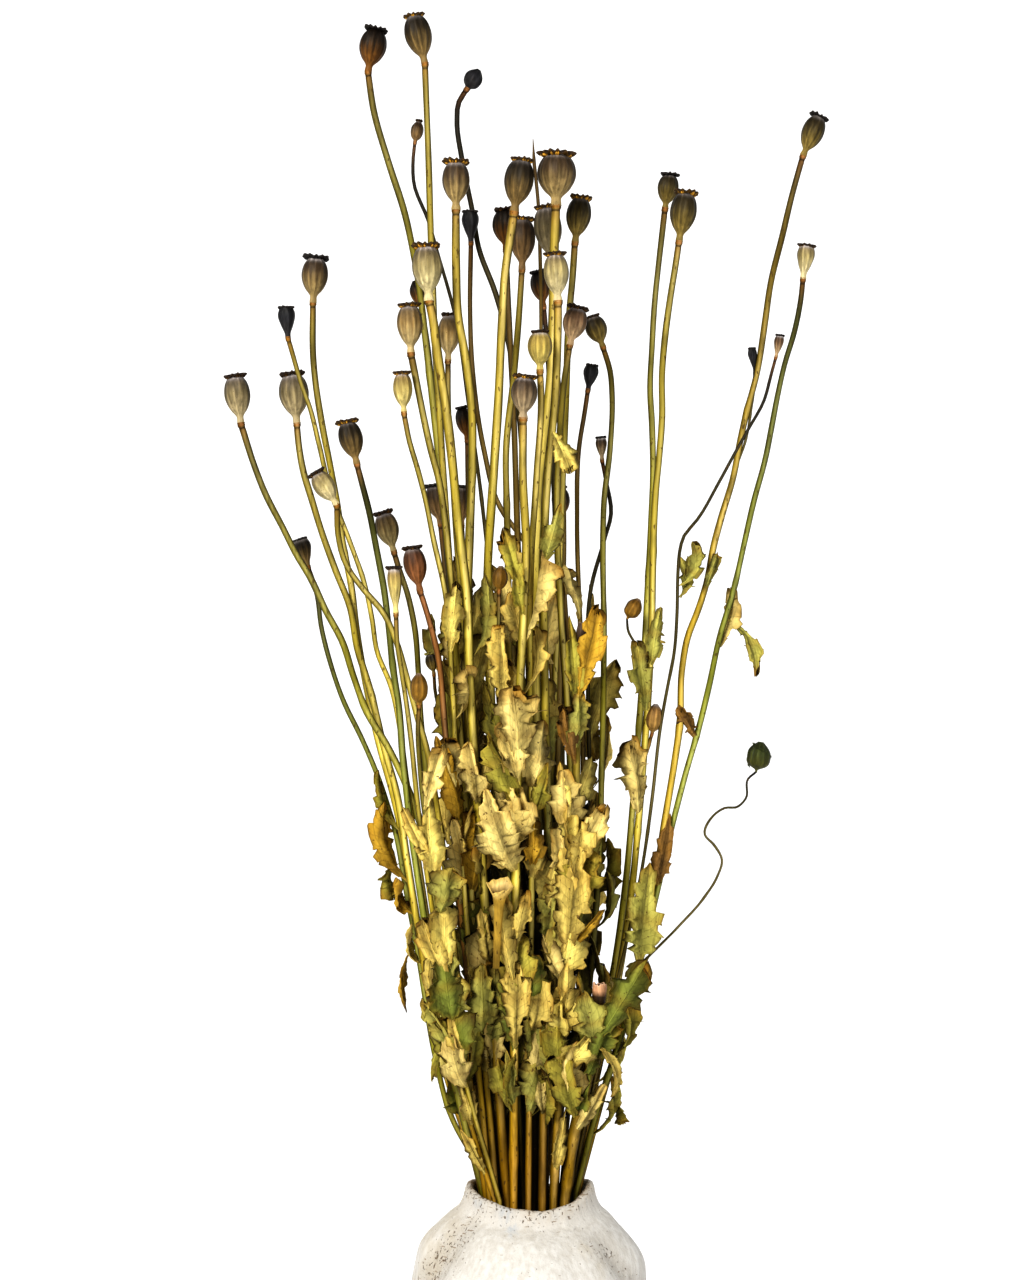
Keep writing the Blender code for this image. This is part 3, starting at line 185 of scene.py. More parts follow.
# One row for each stalk: its name, kind of head, the colours of its head, crown and stem by their
# names below, the elevation's (column, row) of the ring under its head and of its crown, the head's
# and crown's widths and the stem's width low down in mm, its depth in the bunch from -1 (front) to
# 1 (back), and the (column, row) points that its stem passes on the way down. A branch ends on the
# stem of the stalk that it names.
STALKS = (
    Stalk("tall_left", "round", "dark black olive", (368, 72), (376, 30), 20.5, 18, 5.6, 0.30,
          ((374, 112), (388, 161), (405, 214), (415, 262), (428, 360), (441, 480), (455, 620),
           (470, 780), (485, 960))),
    Stalk("tallest", "round", "slate gold straw", (425, 64), (414, 16), 20, 16, 5.4, 0.12,
          ((427, 120), (429, 174), (431, 240), (435, 340), (443, 470), (452, 600), (462, 760), (478, 960))),
    Stalk("black_globe", "bud", "black black black", (467, 89), (479, 70), 14.5, 0, 4.6, 0.62,
          ((459, 102), (457, 120), (462, 160), (473, 214), (479, 249), (495, 292), (511, 355), (522, 450),
           (527, 600), (530, 800), (532, 1000))),
    Stalk("small_bud_high", "bud", "brown dark black", (415, 142), (419, 121), 9.6, 6, 3.0, 0.42,
          ((413, 162), (414, 184), (428, 220), (438, 254), (454, 311), (468, 400), (484, 520), (497, 680),
           (507, 860), (515, 1020))),
    Stalk("golden_crown_left", "round", "beige gold gold", (456, 210), (456, 162), 20, 19.5, 6.8, -0.35,
          ((456, 268), (458, 314), (466, 361), (471, 400), (472, 470), (470, 520), (467, 624), (468, 735),
           (476, 860), (488, 1010))),
    Stalk("black_urn", "tapered", "black black brown", (471, 243), (470, 212), 13, 12.5, 4.2, 0.48,
          ((470, 308), (473, 375), (484, 450), (500, 507), (531, 552), (548, 640), (556, 780), (556, 950))),
    Stalk("golden_crown_middle", "round", "slate gold gold", (514, 213), (522, 160), 21.5, 18, 7.0, -0.30,
          ((511, 232), (505, 273), (502, 324), (498, 405), (494, 470), (488, 560), (490, 680), (497, 830),
           (505, 1000))),
    Stalk("dark_behind_middle", "round", "dark dark brown", (506, 250), (504, 210), 18.5, 16, 5.0, 0.36,
          ((508, 300), (513, 400), (517, 520), (520, 700), (522, 900), (522, 1040))),
    Stalk("brown_middle", "round", "brown gold straw", (522, 270), (523, 219), 19, 17, 5.4, 0.02,
          ((519, 314), (514, 375), (506, 450), (507, 511), (509, 640), (512, 800), (517, 1000))),
    Stalk("largest", "round", "beige gold gold", (556, 206), (557, 154), 28.4, 28.8, 7.8, -0.22,
          ((554, 252), (553, 314), (551, 375), (545, 430), (540, 470), (536, 545), (535, 650), (537, 800),
           (536, 1000))),
    Stalk("grey_behind_largest", "round", "hazy gold brown", (551, 262), (546, 207), 21, 19, 5.6, 0.25,
          ((554, 330), (560, 420), (563, 520), (560, 660), (556, 830), (549, 1000))),
    Stalk("olive_right_of_largest", "round", "olive gold straw", (575, 243), (581, 198), 18.5, 17, 5.6, 0.10,
          ((572, 283), (570, 304), (566, 400), (561, 520), (556, 650), (549, 820), (543, 1000))),
    Stalk("bare_spike", "spike", "dark dark brown", (534, 161), (533, 139), 0, 0, 3.2, 0.50,
          ((538, 201), (540, 252), (541, 350), (538, 460), (531, 600), (528, 760), (526, 960))),
    Stalk("pale_front", "round", "cream gold gold", (558, 302), (555, 254), 18, 17, 6.6, -0.62,
          ((558, 314), (557, 355), (555, 400), (547, 480), (544, 560), (545, 700), (548, 850), (545, 1010))),
    Stalk("dark_far_back", "round", "dark black black", (544, 307), (538, 272), 15, 14, 4.2, 0.75,
          ((548, 360), (552, 450), (557, 560), (562, 720), (560, 900), (551, 1040))),
    Stalk("pale_shoulder", "round", "shade gold gold", (429, 301), (426, 246), 21.5, 20.5, 7.4, -0.55,
          ((432, 314), (436, 344), (447, 416), (453, 470), (459, 532), (465, 580), (470, 680), (477, 800),
           (487, 930), (497, 1060))),
    Stalk("dark_small_left", "bud", "dark black black", (422, 306), (414, 281), 11.5, 0, 3.6, 0.30,
          ((428, 344), (436, 420), (444, 520), (452, 640), (461, 790), (478, 990))),
    Stalk("tan_left", "round", "honey gold straw", (411, 354), (409, 305), 18.5, 18, 5.6, -0.42,
          ((419, 395), (431, 450), (439, 481), (445, 522), (450, 570), (457, 680), (466, 820), (480, 1000))),
    Stalk("rosy_left", "round", "honey dark straw", (448, 361), (450, 315), 16.5, 14, 4.8, -0.10,
          ((448, 400), (452, 470), (458, 560), (470, 680), (484, 830), (500, 1010))),
    Stalk("grey_right", "round", "rosy dark straw", (570, 345), (578, 308), 17.5, 16, 5.2, -0.34,
          ((565, 375), (560, 430), (557, 500), (560, 600), (568, 720), (572, 860), (563, 1020))),
    Stalk("nodding_right", "round", "olive dark olive", (603, 347), (592, 317), 16, 12, 4.8, 0.20,
          ((610, 371), (612, 395), (610, 450), (604, 501), (603, 545), (604, 640), (602, 760), (598, 880),
           (588, 1000))),
    Stalk("lime_front", "round", "lime dark gold", (540, 371), (540, 332), 17.5, 13.5, 5.2, -0.72,
          ((541, 400), (537, 470), (531, 560), (530, 700), (532, 850), (530, 1000))),
    Stalk("black_urn_right", "tapered", "black black brown", (588, 390), (592, 366), 11.5, 10, 4.0, 0.32,
          ((584, 416), (580, 440), (577, 520), (580, 620), (583, 750), (580, 900), (568, 1030))),
    Stalk("brown_front", "round", "violet gold gold", (523, 419), (525, 377), 18.5, 17.5, 6.6, -0.82,
          ((523, 481), (526, 540), (524, 603), (520, 685), (517, 800), (515, 930), (514, 1082))),
    Stalk("small_yellow_left", "round", "yellow gold straw", (404, 413), (402, 373), 14, 13.5, 4.4, -0.50,
          ((409, 440), (417, 467), (424, 493), (434, 542), (445, 591), (452, 680), (458, 800), (470, 960))),
    Stalk("grey_cup_right", "tapered", "violet black black", (602, 460), (601, 438), 8.5, 9, 3.4, 0.22,
          ((606, 481), (611, 515), (605, 538), (592, 583), (588, 680), (590, 800), (586, 930), (574, 1050))),
    Stalk("flat_crown_left", "round", "beige black straw", (313, 303), (316, 258), 20, 20, 5.4, 0.22,
          ((313, 355), (322, 424), (330, 465), (338, 508), (343, 545), (351, 585), (356, 625), (367, 690),
           (378, 740), (392, 790), (405, 850), (424, 960), (447, 1070))),
    Stalk("black_urn_left", "tapered", "black black straw", (288, 338), (286, 308), 12.5, 12, 4.0, -0.22,
          ((292, 352), (301, 383), (310, 408), (319, 444), (330, 490), (350, 542), (364, 582), (372, 619),
           (377, 651), (391, 686), (400, 730), (408, 790), (420, 870), (436, 970), (455, 1080))),
    Stalk("farthest_left", "round", "hazy dark olive", (241, 424), (235, 376), 19.2, 18, 5.4, 0.0,
          ((254, 465), (266, 495), (282, 526), (296, 554), (310, 577), (326, 611), (342, 641), (353, 675),
           (369, 716), (385, 742), (404, 780), (417, 812), (430, 880), (444, 970), (461, 1080))),
    Stalk("grey_far_left", "round", "hazy dark straw", (297, 424), (292, 374), 22, 20, 5.6, 0.16,
          ((298, 439), (303, 470), (312, 500), (322, 533), (335, 569), (350, 607), (358, 651), (369, 686),
           (386, 755), (396, 790), (407, 860), (420, 940), (440, 1050))),
    Stalk("dark_ribbed_left", "round", "slate gold green", (357, 464), (347, 422), 17.5, 17, 5.2, -0.28,
          ((361, 480), (370, 515), (376, 546), (384, 590), (389, 630), (393, 668), (399, 708), (403, 760),
           (411, 830), (426, 930), (447, 1050))),
    Stalk("pale_leaning_left", "round", "cream dark straw", (337, 505), (316, 473), 15.5, 14.5, 4.8, -0.42,
          ((338, 534), (348, 568), (364, 590), (382, 611), (396, 641), (407, 678), (417, 716), (425, 742),
           (436, 801), (447, 880), (460, 1000))),
    Stalk("dark_cup_left", "tapered", "slate black green", (308, 567), (300, 540), 14, 12.5, 4.2, 0.36,
          ((317, 595), (321, 625), (330, 662), (344, 702), (361, 737), (380, 782), (395, 831), (406, 890),
           (419, 960), (434, 1050), (452, 1118))),
    Stalk("freckled_left", "round", "tan dark olive", (394, 552), (383, 513), 17, 16, 4.8, 0.02,
          ((398, 566), (407, 592), (415, 630), (418, 667), (421, 720), (427, 780), (437, 860), (452, 980))),
    Stalk("russet_left", "round", "russet dark russet", (420, 591), (412, 548), 16.5, 15, 5.0, -0.38,
          ((430, 623), (438, 656), (444, 716), (449, 780), (457, 870), (470, 1000))),
    Stalk("long_cup_left", "tapered", "yellow dark straw", (396, 614), (394, 568), 10.5, 12.5, 4.0, -0.60,
          ((397, 641), (401, 668), (407, 708), (412, 748), (416, 790), (425, 860), (440, 960), (459, 1080))),
    Stalk("olive_behind_left", "round", "dark black brown", (467, 440), (462, 408), 12.5, 11, 3.8, 0.55,
          ((468, 500), (471, 600), (480, 740), (492, 900))),
    Stalk("brown_behind_left", "round", "brown black brown", (440, 524), (433, 486), 15.5, 15, 4.0, 0.62,
          ((446, 580), (456, 700), (470, 850), (487, 1000))),
    Stalk("brown_behind_left_second", "round", "brown black brown", (462, 526), (462, 487), 14.5, 14, 4, 0.78,
          ((465, 590), (476, 720), (488, 870), (499, 1020))),
    Stalk("ochre_bud_middle", "bud", "ochre dark olive", (499, 591), (501, 566), 11.2, 0, 3.4, -0.52,
          ((499, 640), (503, 740), (509, 880), (516, 1020))),
    Stalk("brown_behind_right", "round", "dark black brown", (562, 520), (560, 488), 14, 12, 4.0, 0.66,
          ((564, 580), (570, 680), (574, 800), (568, 940), (557, 1050))),
    Stalk("ochre_bud_left", "bud", "ochre dark olive", (419, 705), (419, 673), 13, 0, 3.8, -0.72,
          ((418, 725), (420, 770), (428, 840), (441, 930), (458, 1050))),
    Stalk("small_green_left", "round", "olive green green", (434, 674), (430, 654), 9, 8.5, 2.8, -0.12,
          ((435, 690), (439, 710), (447, 750), (455, 810), (466, 900), (480, 1020))),
    Stalk("dark_tall_right", "round", "olive black olive", (665, 209), (670, 175), 16, 15.5, 5.0, 0.28,
          ((663, 226), (659, 260), (655, 299), (652, 347), (650, 389), (652, 425), (653, 473), (651, 522),
           (649, 562), (646, 620), (641, 700), (634, 790), (626, 880), (612, 980), (590, 1090))),
    Stalk("golden_crown_right", "round", "olive gold straw", (679, 242), (686, 193), 19.5, 19, 5.4, 0.0,
          ((676, 262), (670, 299), (665, 338), (662, 375), (662, 417), (659, 459), (656, 490), (654, 520),
           (653, 562), (652, 620), (648, 700), (641, 790), (633, 880), (618, 980), (594, 1090))),
    Stalk("olive_far_right", "round", "olive black mottled", (803, 156), (819, 117), 16.5, 15, 5.2, 0.12,
          ((792, 195), (782, 237), (771, 282), (765, 322), (756, 377), (747, 411), (740, 442), (733, 478),
           (722, 515), (714, 545), (706, 585), (698, 610), (688, 636), (682, 670), (680, 722), (674, 765),
           (665, 820), (652, 900), (631, 1000), (603, 1095))),
    Stalk("pale_cup_far_right", "tapered", "cream dark green", (803, 279), (807, 246), 13, 14, 4.6, -0.20,
          ((802, 290), (794, 333), (785, 363), (778, 394), (772, 425), (765, 460), (754, 501), (745, 540),
           (732, 596), (720, 636), (709, 686), (698, 731), (685, 776), (672, 826), (662, 870), (643, 950),
           (620, 1040), (597, 1110))),
    Stalk("thread_right", "tapered", "rosy black black", (776, 357), (780, 336), 7.2, 7.5, 2.6, -0.05,
          ((771, 375), (763, 403), (749, 428), (735, 453), (718, 484), (697, 520), (684, 536), (680, 550),
           (678, 573), (677, 613), (674, 654), (668, 685), (661, 723), (652, 800), (640, 880), (620, 970),
           (594, 1085))),
    Stalk("broken_tube", "stub", "shell dark skin", (581, 636), (584, 624), 8.4, 0, 6.6, -0.62,
          ((578, 660), (577, 740), (574, 850), (565, 980))),
    Stalk("cut_tube", "stub", "flesh dark skin", (599, 996), (600, 984), 10.5, 0, 9.0, -0.50,
          ((597, 1020), (588, 1075), (577, 1120))),
    Stalk("black_pea_right", "tapered", "black black black", (754, 369), (752, 349), 6.8, 6, 1.8, 0.12,
          ((754, 389), (751, 411), (746, 439), (735, 471)), "olive_far_right"),
    Stalk("wandering_thread", "bud", "moss black black", (756, 772), (761, 742), 18, 0, 1.8, -0.20,
          ((748, 779), (746, 798), (737, 807), (725, 808), (715, 814), (705, 835), (714, 845), (722, 860),
           (717, 877), (703, 899), (678, 927), (643, 966)), "pale_cup_far_right"),
    Stalk("hooked_bud_right", "bud", "ochre dark black", (627, 619), (639, 599), 12.5, 0, 1.8, -0.15,
          ((628, 630), (636, 645), (649, 672)), "golden_crown_right"),
    Stalk("papery_bud_right", "bud", "peach dark brown", (652, 734), (656, 704), 13.5, 0, 2.6, -0.10,
          ((646, 764),), "golden_crown_right"),
    Stalk("oval_bud_low", "bud", "brown dark brown", (587, 826), (589, 803), 11, 0, 2.4, 0.20,
          ((590, 838), (598, 866)), "nodding_right"),
)

Leaf = namedtuple("Leaf", "base tip width out look")

# Leaves on the front of the bunch: the elevation's (column, row) of the base, on the nearest
# stem, and of the tip, the blade's width in mm, how far it bulges out from its stem in mm, and its
# colour by its name below
FRONT_LEAVES = (
    Leaf((452, 655), (457, 586), 17, 13, "lemon"),
    Leaf((519, 768), (511, 686), 31, 18, "cream"),
    Leaf((503, 872), (488, 786), 37, 24, "cream"),
    Leaf((600, 706), (598, 606), 19, 14, "ochre"),
    Leaf((651, 716), (636, 640), 17, 7, "sage"),
    Leaf((653, 668), (661, 606), 14, 7, "sage"),
    Leaf((641, 818), (630, 737), 24, 10, "cream"),
    Leaf((590, 968), (578, 826), 28, 18, "straw"),
    Leaf((630, 966), (650, 862), 29, 14, "sage"),
    Leaf((436, 985), (420, 914), 19, 12, "straw"),
    Leaf((456, 1026), (444, 946), 26, 14, "green"),
    Leaf((486, 1042), (481, 962), 25, 20, "sage"),
    Leaf((517, 1052), (515, 960), 22, 17, "straw"),
    Leaf((547, 1060), (552, 994), 16, 15, "ochre"),
    Leaf((556, 1068), (596, 1020), 24, 20, "lemon"),
    Leaf((612, 1046), (648, 958), 25, 14, "green"),
    Leaf((590, 1132), (606, 1080), 14, 12, "cream"),
    Leaf((475, 805), (467, 740), 20, 16, "cream"),
    Leaf((452, 812), (444, 746), 17, 11, "cream"),
    Leaf((443, 884), (430, 798), 19, 12, "lemon"),
    Leaf((706, 590), (717, 551), 10, 5, "sage"),
    Leaf((682, 738), (679, 704), 14, 6, "umber"),
    Leaf((658, 890), (669, 816), 16, 9, "umber"),
    Leaf((508, 602), (503, 530), 14, 11, "olive"),
    Leaf((518, 618), (517, 562), 12, 9, "olive"),
    Leaf((562, 562), (559, 506), 18, 11, "sage"),
    Leaf((561, 430), (571, 476), 16, 10, "lemon"),
    Leaf((491, 704), (503, 622), 20, 14, "straw"),
    Leaf((561, 704), (568, 616), 16, 11, "olive"),
    Leaf((566, 768), (564, 706), 15, 12, "umber"),
    Leaf((586, 752), (580, 692), 18, 10, "sage"),
    Leaf((540, 816), (546, 762), 15, 14, "olive"),
    Leaf((600, 864), (607, 804), 18, 12, "cream"),
    Leaf((413, 868), (402, 806), 12, 8, "straw"),
    Leaf((536, 868), (533, 818), 16, 14, "ochre"),
    Leaf((523, 948), (527, 890), 16, 15, "straw"),
    Leaf((482, 966), (479, 906), 13, 14, "straw"),
    Leaf((553, 950), (554, 884), 17, 15, "sage"),
    Leaf((603, 950), (607, 906), 10, 9, "ochre"),
    Leaf((567, 1018), (566, 956), 20, 16, "straw"),
    Leaf((600, 1082), (614, 1010), 20, 13, "green"),
    Leaf((438, 1072), (423, 998), 16, 11, "sage"),
    Leaf((454, 1068), (450, 1010), 17, 12, "straw"),
    Leaf((476, 1086), (462, 1026), 13, 12, "sage"),
    Leaf((472, 1126), (458, 1074), 17, 10, "straw"),
    Leaf((510, 1106), (506, 1050), 14, 12, "sage"),
    Leaf((539, 1116), (540, 1058), 15, 13, "cream"),
    Leaf((576, 1120), (586, 1058), 15, 12, "green"),
    Leaf((558, 1176), (566, 1108), 11, 9, "straw"),
    Leaf((499, 990), (498, 884), 19, 20, "straw"),
    Leaf((468, 1176), (460, 1128), 9, 6, "straw"),
)
SIDE_LEAVES = 24
SIDE_LEAF_HEIGHTS = (0.235, 0.660)
# The small leaves inside the bunch: how many are tried, their lowest base, the span of their bases
# above that, and how far from the middle they may be
INNER_LEAVES = 240
INNER_LOW = 0.245
INNER_SPAN = 0.385
INNER_REACH = 0.058
# The small leaves over the front stems: how many are tried, the highest row of their bases and the
# span of rows below it, the rows above which there are none and fewer, half the bunch's width in
# columns by row, its middle column, and the hollow stalks, which stay clear: column, half width,
# first row and last row
TUFTS = 78
TUFT_TOP = 640
TUFT_SPAN = 480
NO_TUFTS = 770
FEW_TUFTS = 960
BUNCH_ROWS = (640, 760, 900, 1030, 1120)
BUNCH_HALF = (82, 92, 94, 84, 58)
BUNCH_COLUMN = 531
HOLLOW_STALKS = ((599, 24, 960, 1085), (499, 20, 870, 1010))
# The length of a lobe on a leaf's edge
LOBE_LENGTH = 12.5 * MM

# The words in a stalk's name that give its tone
TONES = {
    "dark": ("dark", "black", "nodding"),
    "pale": ("pale", "golden", "yellow", "ochre"),
    "green": ("olive", "green", "lime", "thread"),
    "tan": ("",),
}
CERAMIC = (0.80, 0.78, 0.74)
# What a shader reads as the place of a skin without ribs: no wave, half way up
PLAIN_PLACE = (0.0, 0.5, 0.0)

# Colours, as linear red, green and blue: a head's neck, body and top
HEAD_COLOURS = {
    "black": ((0.030, 0.028, 0.028), (0.022, 0.022, 0.025), (0.012, 0.012, 0.012)),
    "dark": ((0.150, 0.072, 0.020), (0.021, 0.013, 0.006), (0.009, 0.006, 0.004)),
    "slate": ((0.190, 0.134, 0.058), (0.036, 0.026, 0.013), (0.017, 0.013, 0.009)),
    "brown": ((0.192, 0.128, 0.063), (0.058, 0.037, 0.018), (0.032, 0.021, 0.014)),
    "beige": ((0.300, 0.228, 0.112), (0.080, 0.054, 0.029), (0.040, 0.028, 0.018)),
    "violet": ((0.330, 0.262, 0.170), (0.110, 0.076, 0.045), (0.055, 0.040, 0.030)),
    "hazy": ((0.360, 0.300, 0.185), (0.165, 0.135, 0.075), (0.105, 0.086, 0.066)),
    "cream": ((0.490, 0.425, 0.260), (0.345, 0.288, 0.145), (0.205, 0.163, 0.095)),
    "shade": ((0.500, 0.435, 0.260), (0.285, 0.235, 0.118), (0.120, 0.094, 0.060)),
    "tan": ((0.322, 0.265, 0.142), (0.151, 0.110, 0.051), (0.062, 0.043, 0.026)),
    "rosy": ((0.410, 0.300, 0.185), (0.165, 0.103, 0.060), (0.080, 0.053, 0.035)),
    "honey": ((0.440, 0.350, 0.190), (0.250, 0.172, 0.074), (0.130, 0.098, 0.060)),
    "russet": ((0.240, 0.116, 0.053), (0.133, 0.062, 0.030), (0.070, 0.035, 0.021)),
    "olive": ((0.192, 0.145, 0.050), (0.052, 0.039, 0.015), (0.022, 0.016, 0.008)),
    "lime": ((0.450, 0.370, 0.140), (0.350, 0.268, 0.088), (0.280, 0.215, 0.080)),
    "yellow": ((0.520, 0.440, 0.205), (0.425, 0.340, 0.138), (0.230, 0.165, 0.075)),
    "ochre": ((0.224, 0.132, 0.032), (0.200, 0.116, 0.030), (0.120, 0.066, 0.018)),
    "peach": ((0.315, 0.204, 0.079), (0.360, 0.226, 0.092), (0.270, 0.164, 0.073)),
    # flesh and shell are the hollow stumps: their near-black neck is painted shadow under the stump
    "flesh": ((0.050, 0.030, 0.015), (0.600, 0.360, 0.220), (0.780, 0.530, 0.370)),
    "shell": ((0.060, 0.038, 0.022), (0.110, 0.078, 0.060), (0.300, 0.225, 0.170)),
    "moss": ((0.07, 0.07, 0.02), (0.050, 0.060, 0.020), (0.036, 0.042, 0.016)),
}
SPINE_COLOUR = (0.050, 0.060, 0.022)
# Painted shade down the bore of a hollow stump
BORE_SHADE_COLOUR = (0.055, 0.030, 0.020)
# How much bloom lies under the crown, on most heads and on those with less
BLOOM_COLOUR = (0.41, 0.380, 0.370)
FULL_BLOOM = 0.80
BLOOM = {
    "black": 0.0,
    "dark": 0.0,
    "moss": 0.0,
    "ochre": 0.2,
    "slate": 0.35,
    "brown": 0.35,
    "olive": 0.35,
    "russet": 0.5,
}
# A stem's colours at the foot, in the middle and under the head
STEM_COLOURS = {
    "gold": ((0.32, 0.180, 0.014), (0.30, 0.240, 0.044), (0.29, 0.220, 0.052)),
    "straw": ((0.31, 0.185, 0.016), (0.28, 0.225, 0.042), (0.150, 0.120, 0.028)),
    "mottled": ((0.28, 0.190, 0.020), (0.25, 0.180, 0.032), (0.050, 0.036, 0.012)),
    "olive": ((0.22, 0.160, 0.018), (0.19, 0.170, 0.031), (0.085, 0.068, 0.018)),
    "green": ((0.19, 0.165, 0.020), (0.135, 0.140, 0.027), (0.028, 0.026, 0.010)),
    "brown": ((0.24, 0.145, 0.018), (0.16, 0.110, 0.025), (0.068, 0.042, 0.015)),
    "russet": ((0.30, 0.180, 0.035), (0.25, 0.135, 0.042), (0.21, 0.095, 0.036)),
    "black": ((0.14, 0.100, 0.020), (0.050, 0.040, 0.013), (0.012, 0.011, 0.010)),
    # skin stems end near black under their stump: painted shadow
    "skin": ((0.26, 0.160, 0.018), (0.26, 0.205, 0.040), (0.05, 0.030, 0.015)),
}
# A crown's colours at its edge and on top, and the colour of the pores under it if they show
CROWN_COLOURS = {
    "gold": ((0.040, 0.024, 0.012), (0.016, 0.011, 0.008), (0.64, 0.37, 0.085)),
    "dark": ((0.030, 0.019, 0.012), (0.014, 0.010, 0.008), (0.14, 0.075, 0.025)),
    "black": ((0.024, 0.020, 0.018), (0.014, 0.012, 0.011), None),
    "green": ((0.240, 0.210, 0.070), (0.130, 0.110, 0.040), None),
}
RING_COLOUR = (0.215, 0.092, 0.020)

# Leaf colours, the brown that a leaf dries to at its edge, and the yellow where it joins its stem
LEAF_COLOURS = {
    "cream": (0.81, 0.665, 0.29),
    "lemon": (0.76, 0.640, 0.23),
    "straw": (0.68, 0.545, 0.195),
    "ochre": (0.52, 0.345, 0.075),
    "olive": (0.40, 0.36, 0.095),
    "green": (0.22, 0.245, 0.065),
    "sage": (0.46, 0.435, 0.145),
    "umber": (0.24, 0.145, 0.055),
}
CRISP_COLOUR = (0.30, 0.165, 0.035)
MIDRIB_COLOUR = (0.62, 0.49, 0.15)
# How much richer than in these tables all colours are
RICHNESS = 1.12
# The core of the bunch, which painted shade darkens: heights, and its half width and half depth at each
CORE_HEIGHTS = (0.20, 0.30, 0.40, 0.50, 0.60)
CORE_WIDTHS = (0.036, 0.054, 0.065, 0.074, 0.084)
CORE_DEPTHS = (0.031, 0.045, 0.060, 0.068, 0.078)

# Colours of the leaves that aren't in the table of the front, in turn: those whose base shows above
# HIGH_ROW, those above LOW_ROW and those below it
HIGH_ROW = 740
LOW_ROW = 950
HIGH_LEAF_LOOKS = ("straw", "cream", "sage", "straw", "lemon", "sage", "cream")
MIDDLE_LEAF_LOOKS = ("straw", "cream", "ochre", "olive", "lemon", "straw", "sage", "cream")
LOW_LEAF_LOOKS = ("olive", "straw", "green", "sage", "cream", "sage", "lemon", "olive")

EYE_HEIGHT = VASE_HEIGHT + (RIM_ROW - EYE_ROW) * GRID
EYE_X = (EYE_COLUMN - AXIS_COLUMN) * GRID
UPRIGHT = [stalk for stalk in STALKS if stalk.branch is None]
BRANCHES = [stalk for stalk in STALKS if stalk.branch]
TOP_LEVEL = 1.11
LEVELS = np.arange(VASE_HEIGHT, TOP_LEVEL, SAMPLE_STEP)


# Sight lines of the elevation


def sight(column, row, y):
    """The point at depth y that shows at a column and row of the elevation."""
    step = GRID * (EYE_DISTANCE + y) / EYE_DISTANCE
    return Vector((EYE_X + (column - EYE_COLUMN) * step, y, EYE_HEIGHT + (EYE_ROW - row) * step))


def row_of(z, y):
    """The row at which a height z shows when it is at depth y."""
    return EYE_ROW + (EYE_HEIGHT - z) * EYE_DISTANCE / (GRID * (EYE_DISTANCE + y))


def column_of(x, y):
    """The column at which x shows when it is at depth y."""
    return EYE_COLUMN + (x - EYE_X) * EYE_DISTANCE / (GRID * (EYE_DISTANCE + y))


def smooth(places, knots, values):
    """A cubic through (knots, values) read at places: Hermite spans with mean slopes."""
    slopes = np.gradient(values, knots)
    k = np.clip(np.searchsorted(knots, places) - 1, 0, len(knots) - 2)
    span = knots[k + 1] - knots[k]
    t = np.clip((places - knots[k]) / span, 0, 1)
    near = values[k] * (1 + 2 * t) * (1 - t) ** 2 + slopes[k] * span * t * (1 - t) ** 2
    far = values[k + 1] * t * t * (3 - 2 * t) - slopes[k + 1] * span * t * t * (1 - t)
    return near + far


def lengths_along(path):
    """How far along a path each of its points lies."""
    return np.concatenate(([0], np.linalg.norm(np.diff(path, axis=0), axis=1).cumsum()))


def bump(places, middle, spread):
    """1 at the middle, falling off to nought on both sides."""
    return np.exp(-((places - middle) / spread) ** 2)


def scattered(k, step=0.618, start=0.0):
    """The k-th of places that spread evenly from 0 to 1 in jumps."""
    return (k * step + start) % 1


# Where each stalk stands, as in the solid model


def stem_radius(stalk, share):
    """Stem radius at a share of its length, from 0 at the foot to 1 at the head."""
    return stalk.stem * MM / 2 * (1.06 - 0.18 * share ** 1.2)


def neck_slots():
    """Each upright stalk's (x, y) in the vase's neck, spread out until none touch."""
    wanted = []
    for stalk in UPRIGHT:
        (c1, r1), (c2, r2) = stalk.route[-2:]
        column = c2 + 0.8 * (c2 - c1) / (r2 - r1) * (RIM_ROW - r2)
        x = (column - AXIS_COLUMN) * GRID
        wanted.append((np.clip(x, -NECK_ROOM, NECK_ROOM), stalk.depth * SLOT_SPREAD))
    wanted = np.array(wanted)
    radii = np.array([stem_radius(stalk, 0) for stalk in UPRIGHT])
    reach = radii[:, None] + radii[None, :] + SLOT_GAP
    room = NECK_ROOM + 2.6 * MM - radii
    spots = wanted.copy()
    spots[:, 0] += 1e-5 * np.arange(len(spots))
    for step in range(SLOT_ROUNDS):
        apart = spots[:, None] - spots[None, :]
        distance = np.linalg.norm(apart, axis=2) + np.eye(len(spots))
        lack = np.clip(reach - distance, 0, None)
        np.fill_diagonal(lack, 0)
        spots += 0.35 * (apart / distance[..., None] * lack[..., None]).sum(axis=1)
        if step < SLOT_PULLS:
            spots += 0.004 * (wanted - spots)
        length = np.linalg.norm(spots, axis=1)
        spots *= np.minimum(1, room / np.maximum(length, 1e-9))[:, None]
    return spots


